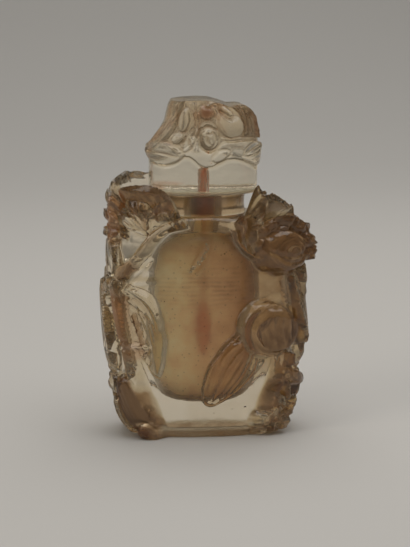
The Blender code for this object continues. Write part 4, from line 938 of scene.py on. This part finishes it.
def finish_stopper(sheet):
    """Fine lines in the stopper's carving with painted shade in them, its ground underside with painted shade
    round its edge, and the iron stain up its left edge.
    """
    # Satin over the carved part, and satin round the edge of the underside, with painted shade there that
    # dims its highlights.
    sheet.satin = 0.6 * ease((sheet.v - 6.0) / 2.0)
    sheet.satin = np.maximum(sheet.satin, ease((0.9 - sheet.v) / 0.4))
    sheet.smoke = np.maximum(sheet.smoke, 0.35 * ease((0.9 - sheet.v) / 0.4))
    score(sheet, arc((5.4, 18.6), 1.5, 1.4, 0, 360), 0.2, 0.3)
    sheet.lay(1.0 - np.hypot(*[d / 0.9 for d in sheet.away((5.4, 18.6))]), 1.22, 0.1)
    for places in ([(-0.9, 14.1), (0.6, 14.6), (2.3, 14.1)], [(-0.2, 13.4), (0.6, 13.1), (1.6, 13.3)],
                   [(-0.8, 12.6), (-0.4, 10.9), (0.6, 10.0)], [(0.2, 12.8), (0.4, 11.4), (1.0, 10.6)],
                   [(3.0, 17.4), (3.4, 15.2), (4.8, 13.4)], [(8.0, 18.0), (8.4, 15.6), (7.4, 13.4)],
                   [(1.8, 19.2), (3.6, 18.4), (4.2, 17.2)], [(2.4, 20.0), (5.2, 20.8), (8.2, 20.2)],
                   [(-7.8, 17.6), (-7.9, 15.4), (-6.8, 13.6)], [(-6.6, 13.9), (-5.6, 13.4), (-4.4, 14.2)],
                   [(-8.8, 19.4), (-8.4, 17.2), (-9.4, 14.2)], [(-9.8, 16.8), (-11.0, 13.6), (-12.6, 11.0)],
                   [(-5.6, 9.6), (-8.8, 11.4), (-12.0, 11.8)], [(-5.4, 8.2), (-9.0, 9.0), (-12.8, 9.2)],
                   [(-4.0, 12.4), (-3.2, 10.8), (-2.6, 9.2)], [(8.8, 9.0), (10.8, 10.6), (12.8, 11.6)],
                   [(-1.2, 20.2), (-0.6, 18.8), (0.2, 18.2)], [(1.2, 20.4), (1.0, 19.2), (1.6, 17.8)],
                   [(-3.4, 19.8), (-2.6, 18.2), (-2.8, 16.6)], [(3.6, 12.8), (7.0, 13.0), (11.8, 12.8)]):
        score(sheet, places, 0.12, 0.24, 0.45)
    for k in range(9):
        u = 8.2 + 0.66 * k
        score(sheet, [(u, 19.4), (u + 0.5, 16.2), (u + 0.1, 13.4)], 0.1, 0.2, 0.35)
    for patch in (((-12.5, 13.5), 1.2, 8.0, 0.35), ((-11.0, 1.6), 2.0, 1.2, 0.5),
                  ((-8.0, 2.6), 3.5, 0.4, 0.5), ((0.4, 17.4), 1.8, 1.6, 0.3),
                  ((12.8, 16.4), 1.2, 3.0, 0.3), ((-13.2, 3.0), 0.8, 3.6, 0.35),
                  ((3.2, 18.2), 1.5, 1.8, 0.25)):
        sheet.shade(sheet.iron, *patch)
    # Old wear and clouding over the carved part.
    sheet.smoke = np.maximum(sheet.smoke, 0.2 * ease((sheet.v - 9.0) / 4.0))


def make_bottle():
    table = girth_table(BODY_HALF_WIDTH + CARVING_SIDE, BODY_HALF_DEPTH + CARVING_FACE, PLAN_POWER)
    girth = table[1][-1]
    reach = girth / 4 + 4.0
    front = np.linspace(-reach, reach, FRONT_COLUMNS, endpoint=False)
    back = np.linspace(reach, girth - reach, BACK_COLUMNS, endpoint=False)
    columns = np.concatenate([front, back])
    columns = np.roll(columns, -FRONT_COLUMNS // 2)
    rows = np.concatenate([[0.0], np.linspace(FOOT_BEVEL, SPAN_TOP, SHEET_ROWS)])
    u, v = np.meshgrid(columns, rows)
    sheet = Sheet(u, v, girth, CARVING_EDGE)
    cloud_ground(sheet)
    sill(sheet, 13.0, 7.0, 0.35)
    carve_ends(sheet)
    carve_back(sheet)
    clear_the_left(sheet)
    carve_front(sheet)
    finish_front(sheet)
    # The foot is darker: a smoky band left round it, standing out by a hair.
    band = ease((1.9 - v) / 0.2)
    sheet.height = np.maximum(sheet.height, 0.1 * band)
    sheet.smoke = np.maximum(sheet.smoke, 0.5 * band)
    # Satin down beside the neck, where little polishing reached.
    sheet.satin = 0.8 * ease((v - SHOULDER_HEIGHT - 10) / 5) * ease((1.3 - np.abs(u) / 10) / 0.3)
    points = sheet_points(u, v, soften(sheet.height), table)
    stain = np.stack([soften(sheet.smoke, 2), soften(sheet.iron, 2), sheet.satin], axis=-1)

    angles = np.interp(np.mod(columns[::COLUMN_STEP], girth), table[1], table[0])
    shell = Shell()
    # The underside is dished a little inside its rim.
    dish = [oval(FOOT_HALF_WIDTH * share, FOOT_HALF_DEPTH * share, FOOT_DISH, angles, PLAN_POWER)
            for share in (0.6, 0.85)]
    shell.start((0, 0, FOOT_DISH), dish[0], FOOT_STAIN)
    shell.ring(dish[1], FOOT_STAIN)
    for row, finish in zip(points, stain):
        shell.ring(row, finish)
    for share in np.linspace(0.1, 0.9, 8):
        waist = 0.25 * math.sin(math.pi * share)
        level = NECK_BASE + NECK_LENGTH * share
        shell.ring(oval(NECK_HALF_WIDTH - waist, NECK_HALF_DEPTH - waist, level, angles), NECK_STAIN)
    for turn in np.linspace(0, math.pi / 2, 5):
        inset = LIP_BEVEL * (1 - math.cos(turn))
        shell.ring(oval(NECK_HALF_WIDTH - inset, NECK_HALF_DEPTH - inset,
                        LIP_HEIGHT - LIP_BEVEL * (1 - math.sin(turn)), angles), NECK_STAIN)
    for share in (0.5, 1.0):
        radius = NECK_HALF_WIDTH - LIP_BEVEL + (BORE_RADIUS - NECK_HALF_WIDTH + LIP_BEVEL) * share
        deep = NECK_HALF_DEPTH - LIP_BEVEL + (BORE_RADIUS - NECK_HALF_DEPTH + LIP_BEVEL) * share
        shell.ring(oval(radius, deep, LIP_HEIGHT, angles), NECK_STAIN)
    # The bore and the hollow below it have the ground, stained finish.
    shell.finish = 1
    for width, deep, level, power in hollow_rings():
        shell.ring(oval(width, deep, level, angles, power))
    shell.close((0, 0, CAVITY_FLOOR), False)
    skin = smoky_quartz("smoky_rock_crystal", "#F7EFDF", "#D2BA8E", "#9C744A", "#5E3C1C")
    return shell.make("carved_bottle", [skin, stained_hollow()])


def hollow_rings(above=26, below=44):
    """Half width, half depth, level and plan power of each ring of the hollow, from its mouth down."""
    middle = CAVITY_FLOOR + CAVITY_HEIGHT / 2
    mouth = math.acos((BORE_RADIUS / CAVITY_HALF_WIDTH) ** (CAVITY_POWER / 2))
    for turn in np.concatenate([np.linspace(mouth, 0.2, above), np.linspace(0.1, -1.5, below)]):
        out = math.cos(turn) ** (2 / CAVITY_POWER)
        level = middle + CAVITY_HEIGHT / 2 * signed_power(math.sin(turn), CAVITY_POWER)
        width = CAVITY_HALF_WIDTH * out
        deep = max(CAVITY_HALF_DEPTH * out, min(BORE_RADIUS, width)) if turn > 0 else CAVITY_HALF_DEPTH * out
        yield width, deep, level, 2.0 + 0.5 * min(1.0, max(0.0, (mouth - turn) * 4))


def make_stopper():
    table = girth_table(STOPPER_HALF_WIDTH, STOPPER_HALF_DEPTH, STOPPER_POWER)
    girth = table[1][-1]
    columns = np.arange(STOPPER_COLUMNS) * girth / STOPPER_COLUMNS
    top = STOPPER_HEIGHT + STOPPER_TOP_SPAN * 0.97
    rows = np.concatenate([[0.0], np.linspace(FOOT_BEVEL, top, STOPPER_ROWS)])
    u, v = np.meshgrid(columns, rows)
    sheet = Sheet(u, v, girth, CARVING_EDGE)
    carve_stopper(sheet)
    finish_stopper(sheet)
    points = stopper_points(u, v, soften(sheet.height), table)
    stain = np.stack([soften(sheet.smoke, 2), soften(sheet.iron, 2), sheet.satin], axis=-1)

    angles = np.interp(np.mod(columns[::COLUMN_STEP], girth), table[1], table[0])
    hole = SHAFT_RADIUS + CLEARANCE
    ceiling = STOPPER_BASE + SHAFT_IN_STOPPER + CLEARANCE
    shell = Shell()
    shell.finish = 1
    shell.start((0, 0, ceiling), oval(hole * 0.6, hole * 0.6, ceiling, angles))
    for radius, level in ((hole, ceiling - 0.25), (hole, STOPPER_BASE + 0.1), (hole + 0.1, STOPPER_BASE)):
        shell.ring(oval(radius, radius, level, angles))
    shell.finish = 2
    for share in (0.4, 0.6, 0.9):
        shell.ring(oval(STOPPER_HALF_WIDTH * share, STOPPER_HALF_DEPTH * share, STOPPER_BASE, angles,
                        STOPPER_POWER))
    shell.finish = 0
    for row, finish in zip(points, stain):
        shell.ring(row, finish)
    shell.close(points[-1].mean(axis=0), False, CROWN_STAIN)
    crystal = smoky_quartz("clear_rock_crystal", "#F7EFDC", "#DCC7A4", "#B08A66", "#7F4F2E")
    return shell.make("carved_stopper", [crystal, stained_drill_hole(), ground_underside_painted_shade()])


def start_tree(name, sizes):
    """A Geometry Nodes tree with a named input for each size; gives back the tree, its inputs and its end."""
    tree = bpy.data.node_groups.new(name, "GeometryNodeTree")
    tree.interface.new_socket("Geometry", in_out="INPUT", socket_type="NodeSocketGeometry")
    tree.interface.new_socket("Geometry", in_out="OUTPUT", socket_type="NodeSocketGeometry")
    for key in sizes:
        tree.interface.new_socket(key, in_out="INPUT", socket_type="NodeSocketFloat")
    return tree, add(tree, "NodeGroupInput").outputs, add(tree, "NodeGroupOutput")


def end_tree(tree, end, geometry, finish):
    whole = add(tree, "GeometryNodeRealizeInstances", {"Geometry": geometry})
    painted = add(tree, "GeometryNodeSetMaterial", {"Geometry": whole.outputs[0], "Material": finish})
    tree.links.new(painted.outputs[0], end.inputs[0])


def grow(name, tree, sizes, data=None):
    """Runs a tree with the given sizes and keeps its result as a plain mesh."""
    seed = bpy.data.objects.new(name, data or bpy.data.meshes.new(name))
    bpy.context.scene.collection.objects.link(seed)
    modifier = seed.modifiers.new(name, "NODES")
    modifier.node_group = tree
    for item in tree.interface.items_tree:
        if item.in_out == "INPUT" and item.name in sizes:
            modifier[item.identifier] = sizes[item.name]
    made = bpy.data.meshes.new_from_object(seed.evaluated_get(bpy.context.evaluated_depsgraph_get()))
    bpy.data.objects.remove(seed)
    made.name = name
    piece = bpy.data.objects.new(name, made)
    bpy.context.scene.collection.objects.link(piece)
    return piece


def make_cork():
    """The cork is turned by rule: a tapered wall with rounded edges, swept round the spoon's hole."""
    sizes = {"Length": CORK_LENGTH * MM, "Hole Radius": (SHAFT_RADIUS + CLEARANCE) * MM,
             "Top Radius": CORK_RADIUS * MM, "Taper": 0.15 * MM, "Edge": 0.2 * MM, "Lumps": 0.05 * MM,
             "Level": (LIP_HEIGHT - CORK_LENGTH / 2) * MM}
    tree, size, end = start_tree("turned_cork", sizes)
    top_wall = reckon(tree, "SUBTRACT", size["Top Radius"], size["Hole Radius"])
    bottom_wall = reckon(tree, "SUBTRACT", top_wall, size["Taper"])
    lean = reckon(tree, "MULTIPLY", size["Taper"], 0.5)
    half_wall = reckon(tree, "MULTIPLY", bottom_wall, 0.5)
    middle = reckon(tree, "ADD", size["Hole Radius"], half_wall)
    wall = add(tree, "GeometryNodeCurvePrimitiveQuadrilateral",
               {"Height": size["Length"], "Bottom Width": bottom_wall, "Top Width": top_wall,
                "Offset": lean},
               mode="TRAPEZOID")
    rounded = add(tree, "GeometryNodeFilletCurve", {"Curve": wall.outputs[0], "Count": 4,
                                                    "Radius": size["Edge"]},
                  mode="POLY")
    fine = add(tree, "GeometryNodeResampleCurve", {"Curve": rounded.outputs[0], "Count": 72})
    circle = add(tree, "GeometryNodeCurvePrimitiveCircle", {"Resolution": 96, "Radius": middle},
                 mode="RADIUS")
    swept = add(tree, "GeometryNodeCurveToMesh", {"Curve": circle.outputs[0],
                                                  "Profile Curve": fine.outputs[0]})
    # The cork's skin is lumpy, in dents about 0.6 mm across.
    place = add(tree, "GeometryNodeInputPosition").outputs[0]
    lumps = add(tree, "ShaderNodeTexNoise", {"Vector": place, "Scale": 1600.0, "Detail": 2.0})
    dent = reckon(tree, "MULTIPLY", lumps.outputs["Fac"], reckon(tree, "MULTIPLY", size["Lumps"], -1.0))
    normal = add(tree, "GeometryNodeInputNormal").outputs[0]
    inward = add(tree, "ShaderNodeVectorMath", {0: normal, "Scale": dent}, operation="SCALE")
    dented = add(tree, "GeometryNodeSetPosition", {"Geometry": swept.outputs[0],
                                                   "Offset": inward.outputs[0]})
    lift = add(tree, "ShaderNodeCombineXYZ", {"Z": size["Level"]})
    raised = add(tree, "GeometryNodeTransform", {"Geometry": dented.outputs[0],
                                                 "Translation": lift.outputs[0]})
    smooth = add(tree, "GeometryNodeSetShadeSmooth", {0: raised.outputs[0]})
    end_tree(tree, end, smooth.outputs[0], dark_cork())
    return grow("cork_plug", tree, sizes)


def make_grains():
    """Grains of snuff dried on the hollow's wall, scattered by rule with a fixed seed."""
    angles = even_angles(48)
    shell = Shell()
    for width, deep, level, power in hollow_rings(10, 16):
        shell.ring(oval(width - 0.05, deep - 0.05, level, angles, power))
    wall = shell.make("hollow_wall", [])
    sizes = {"Grains per Square Metre": 52000.0, "Grain Radius": 0.1 * MM}
    tree, size, end = start_tree("scattered_grains", sizes)
    spread = add(tree, "GeometryNodeDistributePointsOnFaces",
                 {"Mesh": size["Geometry"], "Density": size["Grains per Square Metre"], "Seed": 11})
    grain = add(tree, "GeometryNodeMeshIcoSphere", {"Radius": size["Grain Radius"], "Subdivisions": 2})
    scale = add(tree, "FunctionNodeRandomValue", {2: 0.4, 3: 1.4, 8: 5}, data_type="FLOAT")
    placed = add(tree, "GeometryNodeInstanceOnPoints",
                 {"Points": spread.outputs["Points"], "Instance": grain.outputs["Mesh"],
                  "Scale": scale.outputs[1]})
    end_tree(tree, end, placed.outputs[0], grainy("snuff_grains", "#4A2C14", "#8A5A30", 0.85))
    grains = grow("snuff_grains", tree, sizes, wall.data.copy())
    bpy.data.objects.remove(wall)
    return grains


def make_flakes(name, places, count, radius, spread, seed, finish):
    """Thin flakes strewn along a curve inside the crystal, by rule with a fixed seed."""
    sizes = {"Flake Radius": radius * MM, "Spread": spread * MM}
    tree, size, end = start_tree(name, sizes)
    first, middle, last = [tuple(c * MM for c in place) for place in places]
    path = add(tree, "GeometryNodeCurveQuadraticBezier", {"Resolution": 24, "Start": first, "Middle": middle,
                                                          "End": last})
    points = add(tree, "GeometryNodeCurveToPoints", {"Curve": path.outputs[0], "Count": count}, mode="COUNT")
    scatter = add(tree, "FunctionNodeRandomValue", {0: (-1.0, -1.0, -1.0), 1: (1.0, 1.0, 1.0), 8: seed},
                  data_type="FLOAT_VECTOR")
    shift = add(tree, "ShaderNodeVectorMath", {0: scatter.outputs[0], "Scale": size["Spread"]},
                operation="SCALE")
    strewn = add(tree, "GeometryNodeSetPosition", {"Geometry": points.outputs["Points"],
                                                   "Offset": shift.outputs[0]})
    flake = add(tree, "GeometryNodeMeshIcoSphere", {"Radius": size["Flake Radius"], "Subdivisions": 2})
    thin = add(tree, "GeometryNodeTransform", {"Geometry": flake.outputs["Mesh"], "Scale": (1.0, 0.7, 0.12)})
    turn = add(tree, "FunctionNodeRandomValue", {0: (-1.2, -1.2, -3.1), 1: (1.2, 1.2, 3.1), 8: seed + 1},
               data_type="FLOAT_VECTOR")
    scale = add(tree, "FunctionNodeRandomValue", {2: 0.35, 3: 1.3, 8: seed + 2}, data_type="FLOAT")
    placed = add(tree, "GeometryNodeInstanceOnPoints",
                 {"Points": strewn.outputs[0], "Instance": thin.outputs[0], "Rotation": turn.outputs[0],
                  "Scale": scale.outputs[1]})
    end_tree(tree, end, placed.outputs[0], finish)
    return grow(name, tree, sizes)


def make_spoon():
    top = STOPPER_BASE + SHAFT_IN_STOPPER
    bowl_top = top - SHAFT_LENGTH
    angles = even_angles(48)
    shell = Shell()
    shell.start((0, 0, top), oval(SHAFT_RADIUS - 0.15, SHAFT_RADIUS - 0.15, top, angles))
    for drop in np.concatenate([[0.15], np.linspace(0.6, SHAFT_LENGTH, 30)]):
        radius = SHAFT_RADIUS * (1 - 0.3 * ease(drop / SHAFT_LENGTH))
        shell.ring(oval(radius, radius, top - drop, angles))
    slim = SHAFT_RADIUS * 0.7
    for share in np.linspace(0.02, 0.985, 44):
        swelling = math.sin(math.pi * share ** 0.85) ** 0.7
        wide = slim * (1 - share) + (BOWL_HALF_WIDTH - slim * (1 - share)) * swelling
        thick = slim * (1 - share) + (BOWL_THICKNESS - slim * (1 - share)) * swelling
        ring = oval(wide, thick, bowl_top - BOWL_LENGTH * share, angles)
        hollow = BOWL_DISH * swelling * (1 - (ring[:, 0] / wide) ** 2)
        ring[:, 1] += np.where(ring[:, 1] < -1e-6, hollow, 0)
        shell.ring(ring)
    shell.close((0, 0, bowl_top - BOWL_LENGTH), False)
    return shell.make("snuff_spoon", [stained_bone()])


bottle = make_bottle()
stopper = make_stopper()
cork = make_cork()
spoon = make_spoon()
for piece, node, slot in ((bottle, "bottle", "bottle_crystal"), (stopper, "stopper", "stopper_crystal"),
                          (cork, "cork", "cork"), (spoon, "spoon", "spoon")):
    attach(piece, "root")
    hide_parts(node)

# What is sealed in the crystal of the front, and what dried on the hollow's wall.
fracture = grainy("healed_fracture", "#F4F0E0", "#FFFEF8", 0.4, 0.85)
veil = make_flakes("healed_veil", ((0.4, -7.6, 42.0), (-0.2, -7.4, 38.6), (-3.8, -7.4, 36.4)),
                   90, 0.24, 0.55, 21, fracture)
lost_flakes = make_flakes("single_flakes", ((-7.4, -7.4, 35.6), (-6.0, -7.5, 34.4), (-4.8, -7.4, 35.0)),
                          3, 0.26, 0.3, 31, fracture)
flecks = make_flakes("dark_flecks", ((-8.2, -7.0, 13.6), (-2.0, -6.2, 4.6), (8.4, -6.2, 5.8)),
                     7, 0.3, 0.9, 41, grainy("dark_inclusions", "#2E2114", "#5C452A", 0.5))
for piece in (make_grains(), veil, lost_flakes, flecks):
    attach(piece, "root")


def make_floor():
    """A pale paper sweep: flat under the bottle, rising in a wide curve behind it."""
    near, far, curve, top, half_width = -0.9, 0.35, 0.5, 1.6, 1.6
    turns = np.linspace(0.1, math.pi / 2, 14)
    profile = [(near, 0.0), (far, 0.0)]
    profile += [(far + curve * math.sin(t), curve * (1 - math.cos(t))) for t in turns]
    profile += [(far + curve, top)]
    mesh = bmesh.new()
    rows = [[mesh.verts.new((x, y, z)) for x in (-half_width, half_width)] for y, z in profile]
    for a, b in zip(rows, rows[1:]):
        mesh.faces.new((a[0], a[1], b[1], b[0]))
    data = bpy.data.meshes.new("paper_sweep")
    mesh.to_mesh(data)
    mesh.free()
    data.shade_smooth()
    data.materials.append(plain("pale_paper", "#C9C7C3", 0.9))
    floor = bpy.data.objects.new("paper_sweep", data)
    bpy.context.scene.collection.objects.link(floor)


def add_light(name, size, power, place, toward, tint="#FFFFFF"):
    light = bpy.data.lights.new(name, "AREA")
    light.shape = "RECTANGLE"
    light.size, light.size_y = size
    light.energy = power
    light.color = colour(tint)[:3]
    holder = bpy.data.objects.new(name, light)
    holder.location = place
    holder.rotation_euler = (Vector(toward) - Vector(place)).to_track_quat("-Z", "Y").to_euler()
    bpy.context.scene.collection.objects.link(holder)


def make_camera():
    """A long lens from a little to the left and about 11 degrees above, so that a pixel is 0.2166 mm."""
    azimuth, elevation, distance = math.radians(-5), math.radians(11), 0.45
    photo_height, pixel = 547, 0.0002166
    target = Vector((0.00054, 0, 0.0345))
    back = Vector((math.sin(azimuth) * math.cos(elevation), -math.cos(azimuth) * math.cos(elevation),
                   math.sin(elevation)))
    lens = bpy.data.cameras.new("camera")
    lens.sensor_fit = "VERTICAL"
    lens.sensor_height = 24
    lens.lens = lens.sensor_height * distance / (photo_height * pixel)
    lens.clip_start, lens.clip_end = 0.01, 10
    holder = bpy.data.objects.new("camera", lens)
    holder.location = target + back * distance
    holder.rotation_euler = (-back).to_track_quat("-Z", "Y").to_euler()
    bpy.context.scene.collection.objects.link(holder)
    bpy.context.scene.camera = holder


make_floor()
world = bpy.data.worlds.new("soft_room")
world.use_nodes = True
world.node_tree.nodes["Background"].inputs["Color"].default_value = colour("#B9B8B6")
world.node_tree.nodes["Background"].inputs["Strength"].default_value = 0.28
bpy.context.scene.world = world
add_light("top_softbox", (0.7, 0.5), 1.98, (0.06, 0.06, 0.45), (0, 0.06, 0.0), "#FFFCF8")
add_light("left_softbox", (0.25, 0.5), 0.7, (-0.5, -0.35, 0.4), (0, 0, 0.03), "#FFF8EE")
make_camera()
bpy.context.scene.view_settings.view_transform = "Standard"
bpy.context.scene.cycles.max_bounces = 24
bpy.context.scene.cycles.transmission_bounces = 20
